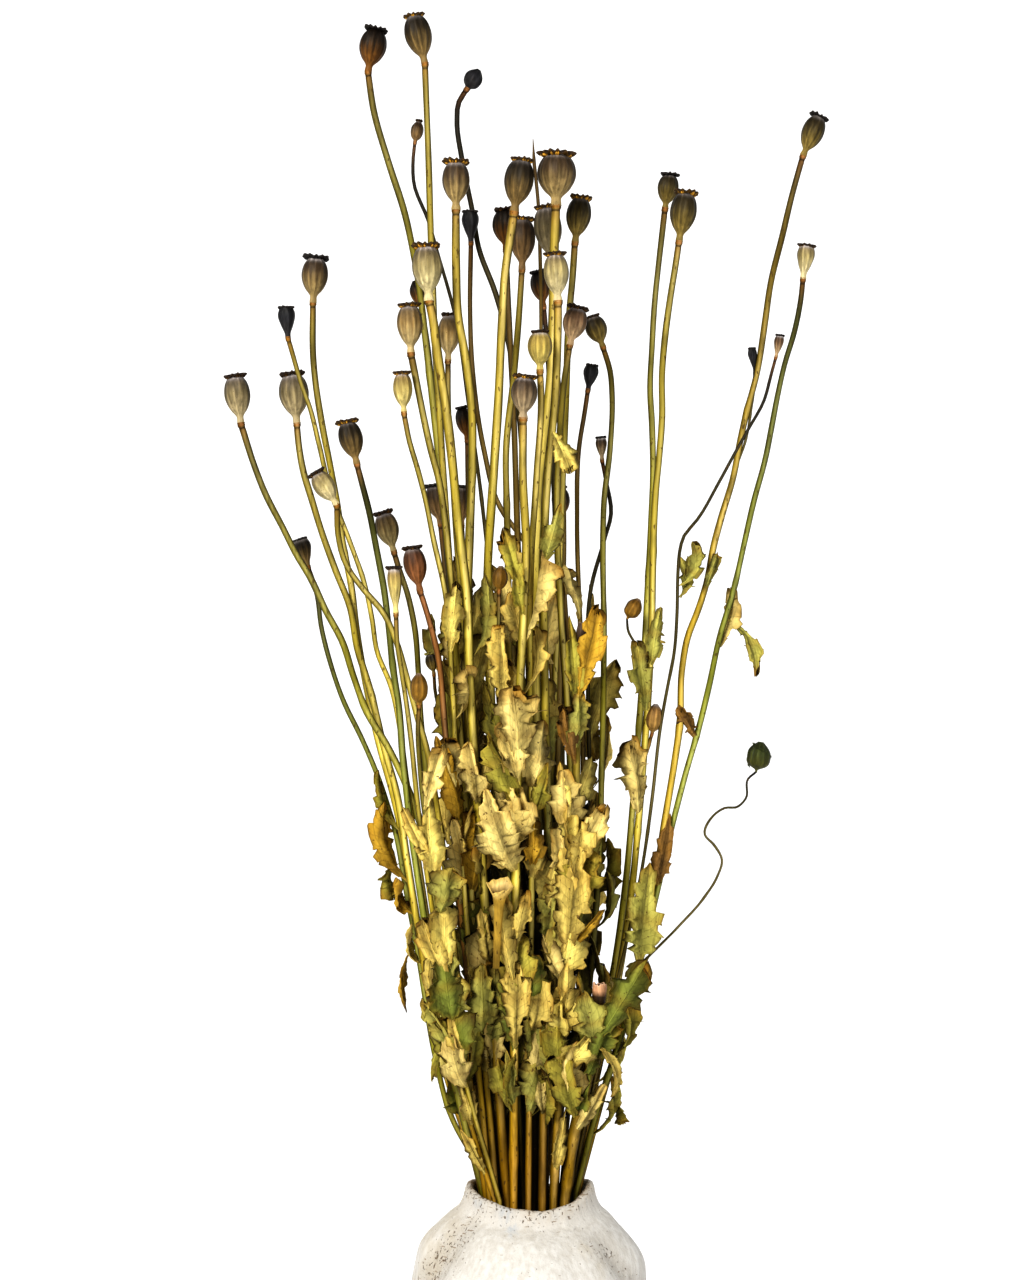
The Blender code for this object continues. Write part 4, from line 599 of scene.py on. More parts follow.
def sections(y, slots):
    """For each level and stalk at depths y: its x, its radius and whether it reaches there."""
    x = np.zeros_like(y)
    radius = np.zeros_like(y)
    reaches = np.zeros(y.shape, dtype=bool)
    for i, stalk in enumerate(UPRIGHT):
        rows = row_of(LEVELS, y[:, i])
        end_row = row_of(VASE_HEIGHT, slots[i, 1])
        end_column = column_of(*slots[i])
        knots = np.array([stalk.ring[1]] + [row for column, row in stalk.route] + [end_row])
        columns = np.array([stalk.ring[0]] + [column for column, row in stalk.route] + [end_column])
        column = smooth(rows, knots, columns)
        height = stalk.ring[1] - stalk.crown[1]
        tilt = (stalk.crown[0] - stalk.ring[0]) / height
        above = rows < stalk.ring[1]
        column = np.where(above, stalk.ring[0] + (stalk.ring[1] - rows) * tilt, column)
        x[:, i] = EYE_X + (column - EYE_COLUMN) * GRID * (EYE_DISTANCE + y[:, i]) / EYE_DISTANCE
        share = np.clip((end_row - rows) / (end_row - stalk.ring[1]), 0, 1)
        slant = np.gradient(x[:, i], LEVELS)
        stem = stem_radius(stalk, share) * np.sqrt(1 + np.clip(slant, -1, 1) ** 2)
        head = max(stalk.width, stalk.lip) * MM / 2 + 0.4 * MM
        in_head = rows < stalk.ring[1] - 0.04 * height
        radius[:, i] = np.where(in_head, np.maximum(head, stem), stem)
        reaches[:, i] = rows > stalk.crown[1] - 6
    return x, radius, reaches


def front_to_back(x, radius, reaches, y, slots):
    """Which of two stalks stays in front, for each run of levels where they cross in elevation."""
    count = len(UPRIGHT)
    order = np.zeros((len(LEVELS), count, count))
    for i in range(count):
        for j in range(i + 1, count):
            reach = radius[:, i] + radius[:, j] + STEM_GAP
            close = (np.abs(x[:, i] - x[:, j]) < reach) & reaches[:, i] & reaches[:, j]
            edges = np.flatnonzero(np.diff(np.concatenate(([0], close.astype(int), [0]))))
            for start, stop in zip(edges[::2], edges[1::2]):
                lead = (y[start:stop, i] - y[start:stop, j]).mean()
                if start == 0:
                    lead = slots[i, 1] - slots[j, 1]
                side = 1.0 if lead > 0 else -1.0
                start = max(start - 3, 0)
                order[start:stop + 3, i, j] = side
                order[start:stop + 3, j, i] = -side
    return order


def settle_depths(slots, gaps):
    """Depths y[level, stalk] at which no two stalks touch, each as straight as it can be."""
    rise = (LEVELS - VASE_HEIGHT)[:, None]
    heads = np.array([stalk.depth * HEAD_SPREAD for stalk in UPRIGHT])
    tops = np.array([sight(*stalk.ring, stalk.depth * HEAD_SPREAD).z for stalk in UPRIGHT])
    share = np.clip(rise / (tops - VASE_HEIGHT), 0, 1)
    y = slots[:, 1] + (heads - slots[:, 1]) * share
    x, radius, reaches = sections(y, slots)
    order = front_to_back(x, radius, reaches, y, slots)
    ring_level = np.searchsorted(LEVELS, tops)
    for step in range(DEPTH_ROUNDS):
        x, radius, reaches = sections(y, slots)
        apart_x = x[:, :, None] - x[:, None, :]
        apart_y = y[:, :, None] - y[:, None, :]
        reach = radius[:, :, None] + radius[:, None, :] + gaps
        both = reaches[:, :, None] & reaches[:, None, :]
        both[:, range(len(UPRIGHT)), range(len(UPRIGHT))] = False
        side = np.where(order == 0, np.where(apart_y > 0, 1.0, -1.0), order)
        need = np.sqrt(np.clip(reach ** 2 - apart_x ** 2, 0, None))
        lack = np.where(both & (need > 0), np.clip(need - side * apart_y, 0, None), 0) * side
        touching = np.maximum((lack != 0).sum(axis=2), 1)
        y += 0.62 * lack.sum(axis=2) / np.sqrt(touching)
        ease = 0.30 if step < DEPTH_PULLS else 0.10
        y[1:-1] += ease * (y[:-2] + y[2:] - 2 * y[1:-1])
        y[0] = slots[:, 1]
        for i, level in enumerate(ring_level):
            lower = max(level - 1, 1)
            middle = y[lower:level + 6, i].mean()
            if step < DEPTH_PULLS:
                middle += 0.02 * (heads[i] - middle)
            y[lower:, i] = middle
    return y


def thin_out(points, error):
    """Drop the points of a line that stay within an error of its remaining spans."""
    start, end = points[0], points[-1]
    along = end - start
    share = np.clip(((points - start) @ along) / (along @ along), 0, 1)
    away = np.linalg.norm(points - start - share[:, None] * along, axis=1)
    worst = int(away.argmax())
    if away[worst] <= error or len(points) < 3:
        return np.array([start, end])
    left = thin_out(points[:worst + 1], error)
    right = thin_out(points[worst:], error)
    return np.concatenate((left[:-1], right))


def stalk_line(i, stalk, y, slots):
    """The stem's axis from the vase's floor to the ring, thinned and in full, and the crown's centre."""
    x, radius, reaches = sections(y, slots)
    below = LEVELS < sight(*stalk.ring, y[-1, i]).z - 0.6 * SAMPLE_STEP
    upper = np.column_stack((x[below, i], y[below, i], LEVELS[below]))
    ring = np.array(sight(*stalk.ring, y[-1, i]))
    foot = np.array((*slots[i], FLOOR + FOOT_GAP))
    down = np.array([foot + (upper[0] - foot) * share for share in (0, 0.25, 0.5, 0.75, 0.92)])
    crown_centre = np.array(sight(*stalk.crown, y[-1, i]))
    thinned = np.vstack((foot, thin_out(np.vstack((upper, ring)), CHORD_ERROR)))
    return thinned, np.vstack((down, upper, ring)), crown_centre


def lacking_room(lines):
    """How far each pair of thinned lines falls short of its room, at its worst level."""
    count = len(UPRIGHT)
    x = np.full((len(LEVELS), count), np.nan)
    y = x.copy()
    radius = np.zeros_like(x)
    for i, (stalk, (line, crown)) in enumerate(zip(UPRIGHT, lines)):
        whole = np.vstack((line[1:], crown))
        top = crown[2] + 1.5 * MM
        x[:, i] = np.where(LEVELS < top, np.interp(LEVELS, whole[:, 2], whole[:, 0]), np.nan)
        y[:, i] = np.where(LEVELS < top, np.interp(LEVELS, whole[:, 2], whole[:, 1]), np.nan)
        share = np.clip((LEVELS - VASE_HEIGHT) / (line[-1, 2] - VASE_HEIGHT), 0, 1)
        slant = np.gradient(x[:, i], LEVELS)
        stem = stem_radius(stalk, share) * np.sqrt(1 + np.clip(np.nan_to_num(slant), -1, 1) ** 2)
        head = max(stalk.width, stalk.lip) * MM / 2
        radius[:, i] = np.where(LEVELS > line[-1, 2], head, stem)
    apart = np.hypot(x[:, :, None] - x[:, None, :], y[:, :, None] - y[:, None, :])
    reach = radius[:, :, None] + radius[:, None, :] + 0.45 * MM
    lack = np.nan_to_num(reach - apart)
    lack[:, range(count), range(count)] = 0
    return np.clip(lack, 0, None).max(axis=0)


def lay_out():
    """Each upright stalk's thinned line, and its full path, both with its crown's centre."""
    slots = neck_slots()
    gaps = np.full((len(UPRIGHT), len(UPRIGHT)), STEM_GAP)
    for attempt in range(ATTEMPTS):
        y = settle_depths(slots, gaps)
        found = [stalk_line(i, stalk, y, slots) for i, stalk in enumerate(UPRIGHT)]
        lines = [(thinned, crown_centre) for thinned, path, crown_centre in found]
        lack = lacking_room(lines)
        if lack.max() == 0:
            break
        gaps += np.where(lack > 0, lack + 0.5 * MM, 0)
    return lines, [(path, crown_centre) for thinned, path, crown_centre in found]


def point_on(line, z):
    """The stem's axis at a height."""
    return Vector([np.interp(z, line[:, 2], line[:, k]) for k in range(3)])


def shown_at(line, column, row):
    """The point of a stem's axis that shows at a row of the elevation."""
    guess = point_on(line, sight(column, row, 0).z)
    return point_on(line, sight(column, row, guess.y).z)


def nearest_stem(lines, column, row):
    """The upright stalk whose stem shows nearest to a place on the front of the elevation."""
    best = None
    for stalk, (line, crown) in zip(UPRIGHT, lines):
        place = shown_at(line, column, row)
        if not line[1, 2] <= place.z <= line[-1, 2] - 0.012:
            continue
        cost = abs(column_of(place.x, place.y) - column) * GRID + 0.50 * place.y
        if best is None or cost < best[0]:
            best = (cost, stalk.name, place)
    return best[1], best[2]


def outer_stem(lines, z, azimuth, rank):
    """The stem that stands farthest out in a direction at a height, or the next in rank."""
    ranked = []
    for stalk, (line, crown) in zip(UPRIGHT, lines):
        if line[-1, 2] - 0.02 > z:
            place = point_on(line, z)
            ranked.append((-place.x * cos(azimuth) - place.y * sin(azimuth), stalk.name, place))
    ranked.sort(key=lambda item: item[0])
    return ranked[rank][1], ranked[rank][2]


# A leaf to make: its stalk's name, its base and tip, the way it faces, its width in mm, how far it
# bows out, how deep it is folded along its midrib, and how far it turns over in radians
Plan = namedtuple("Plan", "owner base tip facing width out fold twist")


def leaf_plans(lines):
    """The large leaves: first those of the table on the front, then those scattered all round."""
    plans = []
    for k, leaf in enumerate(FRONT_LEAVES):
        owner, base = nearest_stem(lines, *leaf.base)
        facing = Vector((0.10 * sin(2.3 * k), -1, 0.12 * cos(1.7 * k))).normalized()
        tip = sight(*leaf.tip, base.y) + facing * leaf.out * MM * 0.75
        shape = (leaf.width, leaf.out * MM, 0.10 + 0.42 * sin(1.9 * k), 0.55 * sin(3.1 * k))
        plans.append(Plan(owner, base, tip, facing, *shape))
    low, high = SIDE_LEAF_HEIGHTS
    for k in range(SIDE_LEAVES):
        z = low + (high - low) * scattered(k, 0.382, 0.2)
        azimuth = radians(-38 + 256 * scattered(k))
        owner, base = outer_stem(lines, z, azimuth, k % 3)
        facing = Vector((cos(azimuth), sin(azimuth), 0))
        upward = 1 if k % 3 else -0.8
        length = (46 + 18 * sin(2.7 * k)) * MM * (1 if z > 0.3 else 0.7)
        swing = Vector((-facing.y, facing.x, 0)) * 0.35 * sin(4.1 * k)
        out = (13 + 5 * cos(1.3 * k)) * MM
        tip = base + (Vector((0, 0, upward)) + swing) * length + facing * out * 0.9
        shape = (18.5 + 6 * sin(5.3 * k), out, 0.10 + 0.4 * sin(1.1 * k), 0.7 * sin(2.1 * k))
        plans.append(Plan(owner, base, tip, facing, *shape))
    return plans


def branch_line(stalk, parents):
    """A branch's axis from its parent's stem to its own ring, and its crown's centre."""
    line, crown = parents[stalk.branch]
    join = shown_at(line, *stalk.route[-1])
    knots = [stalk.ring, *stalk.route[:-1]][::-1]
    points = [join] + [sight(*knot, join.y) for knot in knots]
    return np.array(points), np.array(sight(*stalk.crown, join.y))


def rounded(path):
    """A path of few points rounded off into one of many, read along its chords."""
    lengths = lengths_along(path)
    places = np.linspace(0, lengths[-1], max(int(lengths[-1] / (2.5 * MM)), 8))
    return np.stack([smooth(places, lengths, path[:, k]) for k in range(3)], axis=-1)


def turned_from(azimuth, degrees):
    """How far an azimuth is turned from one in degrees, at most half a turn either way."""
    return (azimuth - np.radians(degrees) + pi) % TURN - pi


def fold_shape(z, azimuth):
    """The share of its plain radius that the vase keeps at a height and an azimuth from the front."""
    keep = 1 + 0.010 * np.sin(3 * azimuth + 0.5)
    fade = np.interp(z, (0, 0.035, 0.110, 0.165, 0.181, 0.192), (0.1, 0.5, 1.0, 1.0, 0.45, 0))
    for high, low, depth, spread in CREASES:
        middle = np.interp(z, (0.125, 0.182), (low, high))
        keep = keep - depth * fade * bump(turned_from(azimuth, middle), 0, np.radians(spread))
    for middle, height, rise, spread in BULGES:
        away = turned_from(azimuth, middle) / np.radians(spread)
        keep = keep + rise * np.exp(-away ** 2 - ((z - height) / 0.016) ** 2)
    return keep


def tone_of(name):
    """The tone of a stalk by the words of its name."""
    return next(tone for tone, words in TONES.items() if any(word in name for word in words))


# Surfaces worked out as grids: rings of points along a path, closed at both ends


# A closed skin: its points, the corners of all its faces in a row, how many corners each face has,
# its points' colours and places, and which of the four paints covers it
Patch = namedtuple("Patch", "points loops totals tint place slot")
STEM, CAPSULE, CROWN, LEAF = range(4)


def turn_steps(count):
    """Angles that step once round."""
    return np.arange(count) * TURN / count


def closed_skin(rings, tint, place, slot):
    """A skin over rings[along, around], whose ends run together into the mean of the end rings.

    tint is a colour and place three numbers for each point of the rings."""
    n, m = rings.shape[:2]
    tint = np.broadcast_to(tint, (n, m, 3)).reshape(-1, 3)
    place = np.broadcast_to(place, (n, m, 3)).reshape(-1, 3)
    first, last = rings[0].mean(axis=0), rings[-1].mean(axis=0)
    points = np.vstack((rings.reshape(-1, 3), first, last))
    tint = np.vstack((tint, tint[0], tint[-1]))
    place = np.vstack((place, place[0], place[-1]))
    i, j = np.meshgrid(np.arange(n - 1), np.arange(m), indexing="ij")
    here, after = i * m + j, i * m + (j + 1) % m
    quads = np.stack((here, after, after + m, here + m), axis=-1).reshape(-1)
    k = np.arange(m)
    k_next = (k + 1) % m
    low = np.stack((np.full(m, n * m), k_next, k), axis=-1).reshape(-1)
    base = (n - 1) * m
    high = np.stack((np.full(m, n * m + 1), base + k, base + k_next), axis=-1).reshape(-1)
    totals = np.concatenate((np.full((n - 1) * m, 4), np.full(2 * m, 3)))
    return Patch(points, np.concatenate((quads, low, high)), totals, tint, place, slot)


def unit(vectors):
    """The vectors at length one."""
    return vectors / np.maximum(np.linalg.norm(vectors, axis=-1, keepdims=True), 1e-12)


def path_frame(path):
    """Two directions across a path at each point: one nearest to +Y, one square to it."""
    along = unit(np.gradient(path, axis=0))
    back = np.array((0.0, 1.0, 0.0))
    across = unit(back - (along @ back)[:, None] * along)
    return across, np.cross(along, across)


def stem_skin(path, radii, tint):
    """A bar along a path: centre + radius * (cos t * across + sin t * beside), a little lumpy."""
    across, beside = path_frame(path)
    t = turn_steps(STEM_SIDES)
    radius = radii[:, None] * (1 + 0.03 * np.sin(5 * t + 9 * np.linspace(0, 6, len(path))[:, None]))
    spokes = np.cos(t)[None, :, None] * across[:, None] + np.sin(t)[None, :, None] * beside[:, None]
    return closed_skin(path[:, None] + radius[..., None] * spokes, tint, PLAIN_PLACE, STEM)


def standing(ring, crown):
    """A head's place: its ring, its height and three directions, the last up its axis."""
    axis = unit(crown - ring)
    side = unit(np.cross((0.0, -1.0, 0.0), axis))
    return ring, np.linalg.norm(crown - ring), np.array((side, np.cross(axis, side), axis))


def placed(stand, x, y, z):
    """Points of a head's own axes in the world."""
    ring, rise, directions = stand
    return ring + x[..., None] * directions[0] + y[..., None] * directions[1] + z[..., None] * directions[2]


def link(name, data):
    """A new object in the scene."""
    piece = bpy.data.objects.new(name, data)
    bpy.context.scene.collection.objects.link(piece)
    return piece


def add_layer(mesh, name, kind, key, values):
    """Keep numbers with each point of a mesh, under a name."""
    layer = mesh.attributes.new(name, kind, "POINT")
    layer.data.foreach_set(key, values.ravel())


def starts_of(counts):
    """Where each run starts when runs of these lengths follow each other."""
    return np.concatenate(([0], counts.cumsum()[:-1]))


def build(name, patches, paints):
    """One mesh object of all the patches, with their tints and places as attributes."""
    points = np.vstack([patch.points for patch in patches])
    starts = starts_of(np.array([len(patch.points) for patch in patches]))
    loops = np.concatenate([patch.loops + start for patch, start in zip(patches, starts)])
    totals = np.concatenate([patch.totals for patch in patches])
    slots = np.concatenate([np.full(len(patch.totals), patch.slot) for patch in patches])
    mesh = bpy.data.meshes.new(name)
    mesh.vertices.add(len(points))
    mesh.vertices.foreach_set("co", points.ravel())
    mesh.loops.add(len(loops))
    mesh.loops.foreach_set("vertex_index", loops.astype(np.int32))
    mesh.polygons.add(len(totals))
    mesh.polygons.foreach_set("loop_start", starts_of(totals).astype(np.int32))
    mesh.polygons.foreach_set("use_smooth", np.ones(len(totals), dtype=bool))
    used = sorted(set(slots.tolist()))
    mesh.polygons.foreach_set("material_index", np.searchsorted(used, slots).astype(np.int32))
    for slot in used:
        mesh.materials.append(paints[slot])
    tint = np.vstack([patch.tint for patch in patches])
    grey = tint.mean(axis=1, keepdims=True)
    # The colours made richer, then darkened by painted shade inside and low in the bunch
    tint = np.clip(grey + (tint - grey) * RICHNESS, 0, 1) * shade(points)[:, None]
    add_layer(mesh, "tint", "FLOAT_COLOR", "color", np.column_stack((tint, np.ones(len(tint)))))
    add_layer(mesh, "place", "FLOAT_VECTOR", "vector", np.vstack([patch.place for patch in patches]))
    mesh.update(calc_edges=True)
    mesh.validate()
    return link(name, mesh)


def shade(points):
    """How much of its colour each point keeps: painted shade, darker low down and darkest deep inside the
    bunch where the stems shade each other.
    """
    x, y, z = points.T
    wide = np.interp(z, CORE_HEIGHTS, CORE_WIDTHS)
    deep = np.interp(z, CORE_HEIGHTS, CORE_DEPTHS)
    inside = np.clip((0.98 - np.hypot(x / wide, y / deep)) / 0.42, 0, 1)
    # Painted shade: darker towards the foot of the bunch, and darker still inside its core
    low = np.interp(z, (0.20, 0.34, 0.48), (0.78, 0.93, 1.0))
    return low * (1 - 0.94 * inside * np.clip((0.64 - z) / 0.22, 0, 1) * np.clip((z - 0.15) / 0.04, 0, 1))


def blend(first, second, share):
    """One colour run into another by a share."""
    return np.asarray(first) * (1 - share) + np.asarray(second) * share


def blend_colours(share, stops):
    """Colours read at shares from (share, colour) stops."""
    places = [place for place, colour in stops]
    colours = np.array([colour for place, colour in stops])
    return np.stack([np.interp(share, places, colours[:, k]) for k in range(3)], axis=-1)


# Stems


def stem_path(stalk, path, crown_centre):
    """A stem's path with closer points below its ring and a few steps on past it."""
    ring = path[-1]
    axis = unit(crown_centre - ring)
    steps = INTO_HEAD
    if stalk.kind == "spike":
        steps = (*UP_SPIKE, np.linalg.norm(crown_centre - ring) / MM)
    near = np.array([path[-2] + (ring - path[-2]) * share for share in BELOW_HEAD])
    return np.vstack((path[:-1], near, ring, [ring + axis * step * MM for step in steps]))


def stem_patches(stalk, path, crown_centre, tone, seed):
    """A stem: its radius falls off up the path, with swollen joints and a ring under the head."""
    path = stem_path(stalk, path, crown_centre)
    length = lengths_along(path)
    ring_length = length[-1 - len(INTO_HEAD)]
    share = np.clip(length / ring_length, 0, 1)
    to_ring = length - ring_length
    radii = stem_radius(stalk, share)
    for joint in STEM_JOINTS:
        place = (joint + 0.05 * sin(seed + 9 * joint)) * ring_length
        radii *= 1 + 0.16 * bump(length, place, 5 * MM)
    radii *= 1 + 0.05 * np.sin(share * 23 + seed) * np.sin(share * 57 + 2 * seed)
    if stalk.kind == "spike":
        radii[-len(SPIKE_TAPER):] *= SPIKE_TAPER
    swollen = 0.0 if stalk.kind in ("spike", "stub") or stalk.stem < 2 else 1.0
    band = swollen * (bump(to_ring, -1.0 * MM, 0.75 * MM) + bump(to_ring, 0.6 * MM, 0.65 * MM))
    groove = swollen * bump(to_ring, -3.4 * MM, 0.8 * MM)
    radii *= 1 + 0.20 * band - 0.04 * groove
    blush = np.clip(swollen * 0.40 * bump(to_ring, 0, 12 * MM) + 0.55 * band, 0, 0.95)
    tint = stem_tint(tone, share, path[:, 2], blush, groove)
    return [stem_skin(path, radii, around_stem(tint, share, seed))]


def stem_tint(tone, share, height, blush, groove):
    """A stem's colour on its way up, tanned about its ring and dark in the groove under that."""
    low, middle, top = STEM_COLOURS[tone]
    bright = 1.62 * np.array(middle)
    tint = blend_colours(share, ((0, bright), (0.58, bright), (0.78, middle), (1, top)))
    climb = np.interp(height, (0.23, 0.42), (0, 1))[:, None]
    tint = blend(blend(low, tint, climb), RING_COLOUR, blush[:, None])
    return tint * (1 - 0.85 * groove[:, None])


def around_stem(tint, share, seed):
    """A stem's colour on its way round: painted shade darkens its flanks, and a painted highlight runs pale
    and mottled down its front and back.
    """
    t = turn_steps(STEM_SIDES)
    # Painted shade on the flanks as seen from the front, and a painted highlight down the front and back
    flank_shade = np.abs(np.sin(t))[None, :, None] ** 2.6
    mottle = 0.62 + 0.55 * np.sin(share * 31 + seed) * np.sin(share * 13 + 2 * seed)
    pale = np.clip(np.abs(np.cos(t - 0.25))[None, :] ** 7 * mottle[:, None], 0, 0.85)[..., None]
    tint = tint[:, None]
    painted_highlight = 1.55 * tint + 0.70 * tint.mean(axis=-1, keepdims=True)
    return blend(tint, painted_highlight, pale) * (1.24 - 1.06 * flank_shade)


# Seed heads


def head_profile(stalk, ring_radius):
    """A head's heights and radii, as its kind has them but hardly narrower than its ring."""
    rows = [(0.0, ring_radius)]
    for height, radius in PROFILES[stalk.kind]:
        swell = ring_radius if radius is None else radius * stalk.width * MM / 2
        rows.append((height, max(swell, ring_radius * 0.8)))
    return np.array(rows).T


def rumples(t, share, seed):
    """The slow dents of a dried head: waves around it, each one changing on the way up."""
    dents = np.sin(2 * t + seed)[None] * np.sin(3 * share + seed)[:, None]
    dents = dents + 0.6 * np.sin(3 * t - 2 * seed)[None] * np.cos(7 * share)[:, None]
    return dents + 0.5 * np.sin(5 * t + seed)[None] * np.sin(9 * share - seed)[:, None]


def capsule(stalk, stand, ring_radius, tone, seed):
    """A seed head: its profile's radius, drawn in a little between its ribs and rumpled."""
    ribs = rib_count(stalk)
    share = 0.5 - 0.5 * np.cos(np.linspace(0, pi, HEAD_GRID[0]))
    t = turn_steps(HEAD_GRID[1])
    wave = np.cos(ribs * t + seed)[None, :]
    body = np.clip((share - 0.14) / 0.3, 0, 1)[:, None] * np.clip((1.02 - share) / 0.14, 0, 1)[:, None]
    withered = 0.045 if stalk.kind == "bud" else 0.030 if tone == "black" else 0.012
    radius = smooth(share, *head_profile(stalk, ring_radius))[:, None]
    drawn_in = 0.030 * (0.5 - 0.5 * wave) ** 2 + withered * rumples(t, share, seed)
    radius = radius * (1 - body * drawn_in)
    x, y = radius * np.cos(t), radius * np.sin(t)
    z = np.broadcast_to((share * stand[1])[:, None], x.shape)
    tint = head_tint(tone, ribs, t, share, body, seed)
    place = np.stack(np.broadcast_arrays(wave, share[:, None], 0.0), axis=-1)
    return closed_skin(placed(stand, x, y, z), tint, place, CAPSULE)


def head_tint(tone, ribs, t, share, body, seed):
    """A head's colour: its pale neck runs up in streaks, bloom dusts it under the crown, and painted shade
    darkens its flanks.
    """
    neck, middle, top = HEAD_COLOURS[tone]
    streaks = 0.5 + 0.5 * np.sin(ribs * t + seed) * np.sin(3 * t - seed)
    streaks = (streaks + 0.35 * np.sin(2.0 * ribs * t + 2 * seed))[None]
    reach = np.clip(0.38 + 0.18 * streaks - share[:, None], -1, 1)
    pale = np.clip(0.5 + reach / 0.42, 0, 1)[..., None]
    high = np.clip((share - 0.62) / 0.30, 0, 1)[:, None, None]
    bloom = bump(share, 0.97, 0.065)[:, None, None] * BLOOM.get(tone, FULL_BLOOM)
    tint = blend(blend(blend(middle, neck, pale), top, high), BLOOM_COLOUR, bloom)
    # Painted shade on the head's flanks as seen from the front
    flank_shade = np.abs(np.cos(t))[None, :, None] ** 3 * body[..., None]
    return tint * (1.10 - 0.72 * flank_shade)


def rib_count(stalk):
    """How many ribs a head has, and so lobes on its crown."""
    return int(6 + stalk.width / 3.4)


def crown_thickness(stalk):
    """A crown's thickness in mm: wider ones are thicker."""
    return 0.55 + 0.045 * stalk.lip


def crown(stalk, stand, tone, seed):
    """A crown: a thin disc with a lobe over each rib, a raised ray along each and a wavy edge."""
    lobes = rib_count(stalk)
    radius, rise = stalk.lip * MM / 2 * 1.03, stand[1]
    t = turn_steps(lobes * 8)
    wave = np.cos(lobes * t + seed)[None, :]
    reach, height = np.array(CROWN_OUTLINE).T[..., None]
    out = radius * reach * (1 - 0.15 * reach ** 3 * (0.5 - 0.5 * wave) ** 1.6)
    waver = 0.05 * reach * np.sin(2 * t + seed)[None]
    out = out * (1 + waver + 0.035 * reach * np.sin(5 * t + 3 * seed)[None])
    ray = np.where(height > 0.4, 0.45 * (0.5 + 0.5 * wave) ** 4, 0)
    sway = 0.07 * np.sin(t + seed)[None] + 0.05 * np.sin(3 * t - seed)[None] + 0.07 * wave - 0.02
    z = rise + MM * (0.25 + height * crown_thickness(stalk) + ray) + radius * reach ** 2 * sway
    x, y = out * np.cos(t), out * np.sin(t)
    edge, middle, pore = CROWN_COLOURS[tone]
    below = np.clip(-height, 0, 1)[..., None] * np.ones((1, len(t), 1))
    tint = np.array(middle) + (np.array(edge) - np.array(middle)) * np.clip(reach ** 3, 0, 1)[..., None]
    tint = blend(tint, pore or edge, 0.25 * below)
    place = np.stack(np.broadcast_arrays(wave, reach, 0.0), axis=-1)
    return closed_skin(placed(stand, x, y, z), tint, place, CROWN)


def pores(stalk, stand, tone, seed):
    """The bars under a crown, two for each rib, that run out from its middle as long ovals."""
    count = 2 * rib_count(stalk)
    radius, rise = stalk.lip * MM / 2, stand[1]
    share = np.linspace(0.04, 0.96, 5)[:, None]
    t = turn_steps(6)
    bars = []
    for k in range(count):
        size = sin(5 * k + seed)
        if size < -0.45:
            continue
        angle = (k + 0.5 + 0.2 * sin(3 * k + seed)) * TURN / count
        girth = radius * (0.068 + 0.020 * size) * np.sqrt(1 - (2 * share - 1) ** 2)
        far = radius * (0.50 + 0.40 * share)
        aside = girth * np.cos(t)
        x = far * cos(angle) - aside * sin(angle)
        y = far * sin(angle) + aside * cos(angle)
        sway = 0.07 * sin(angle + seed) + 0.05 * sin(3 * angle - seed)
        slope = radius * (0.06 * share ** 2 + share ** 2 * sway - 0.035)
        z = rise - MM * 0.62 * crown_thickness(stalk) + slope + 1.15 * girth * np.sin(t)
        gold = np.array(CROWN_COLOURS[tone][2]) * (0.80 + 0.35 * sin(2.7 * k + seed))
        bars.append(closed_skin(placed(stand, x, y, z), gold, (-1.0, 0.5, 0.0), CROWN))
    return bars


def broken_end(stalk, stand, tone, seed):
    """A stalk's hollow stump: out along its skin, over a ragged lip and down its bore, which is dark with
    painted shade.
    """
    reach, height = np.array(STUMP_OUTLINE).T[..., None]
    reach = reach * (stalk.width * MM / 2)
    t = turn_steps(STUMP_SIDES)
    teeth = 0.7 * np.sin(3 * t + seed) + 0.4 * np.sin(8 * t) + 0.25 * np.sin(13 * t)
    ragged = (height > 0.85) * teeth[None] * MM
    x, y = reach * np.cos(t), reach * np.sin(t)
    low, skin, lip = (np.array(colour) for colour in HEAD_COLOURS[tone])
    height = height[..., None]
    tint = np.where(height > 0.93, lip, np.where(height < 0.3, low, skin))
    # Painted shade down the bore
    tint[BORE_START:] = BORE_SHADE_COLOUR
    shape = placed(stand, x, y, height[..., 0] * stand[1] + ragged)
    return closed_skin(shape, tint, PLAIN_PLACE, CAPSULE)


def spines(stand, stalk):
    """Bristles over a bud, each a thin cone that leans up."""
    bristles = []
    t = turn_steps(5)
    share = np.array((0.0, 0.5, 1.0))[:, None]
    for k in range(SPINES):
        height = 0.12 + 0.80 * scattered(k)
        angle = k * 2.4
        girth = stalk.width * MM / 2 * 0.90 * sin(pi * height) ** 0.5
        far = girth + share * (1.6 + 0.8 * sin(k)) * MM
        thick = 0.40 * MM * (1.05 - share)
        x = far * cos(angle) - thick * np.cos(t) * sin(angle)
        y = far * sin(angle) + thick * np.cos(t) * cos(angle)
        z = height * stand[1] + share * 1.2 * MM + thick * np.sin(t)
        bristles.append(closed_skin(placed(stand, x, y, z), SPINE_COLOUR, PLAIN_PLACE, CROWN))
    return bristles


# Leaves


def leaf_spine(base, tip, facing, out, twist, share, seed):
    """A leaf's midrib, a curve bowed out from its stem, and the ways along, across and up from it."""
    middle = base + facing * out * 1.35 + (tip - base) * 0.34
    near = ((1 - share) ** 2)[:, None]
    half_way = (2 * share * (1 - share))[:, None]
    far = (share ** 2)[:, None]
    centre = base * near + middle * half_way + tip * far
    along = unit((middle - base) * (1 - share[:, None]) + (tip - middle) * share[:, None])
    side = unit(np.cross(along, facing))
    normal = np.cross(side, along)
    angle = (twist * share + 0.35 * np.sin(5 * share + seed) * share)[:, None]
    across = side * np.cos(angle) + normal * np.sin(angle)
    raised = normal * np.cos(angle) - side * np.sin(angle)
    return centre[:, None], along[:, None], across[:, None], raised[:, None]


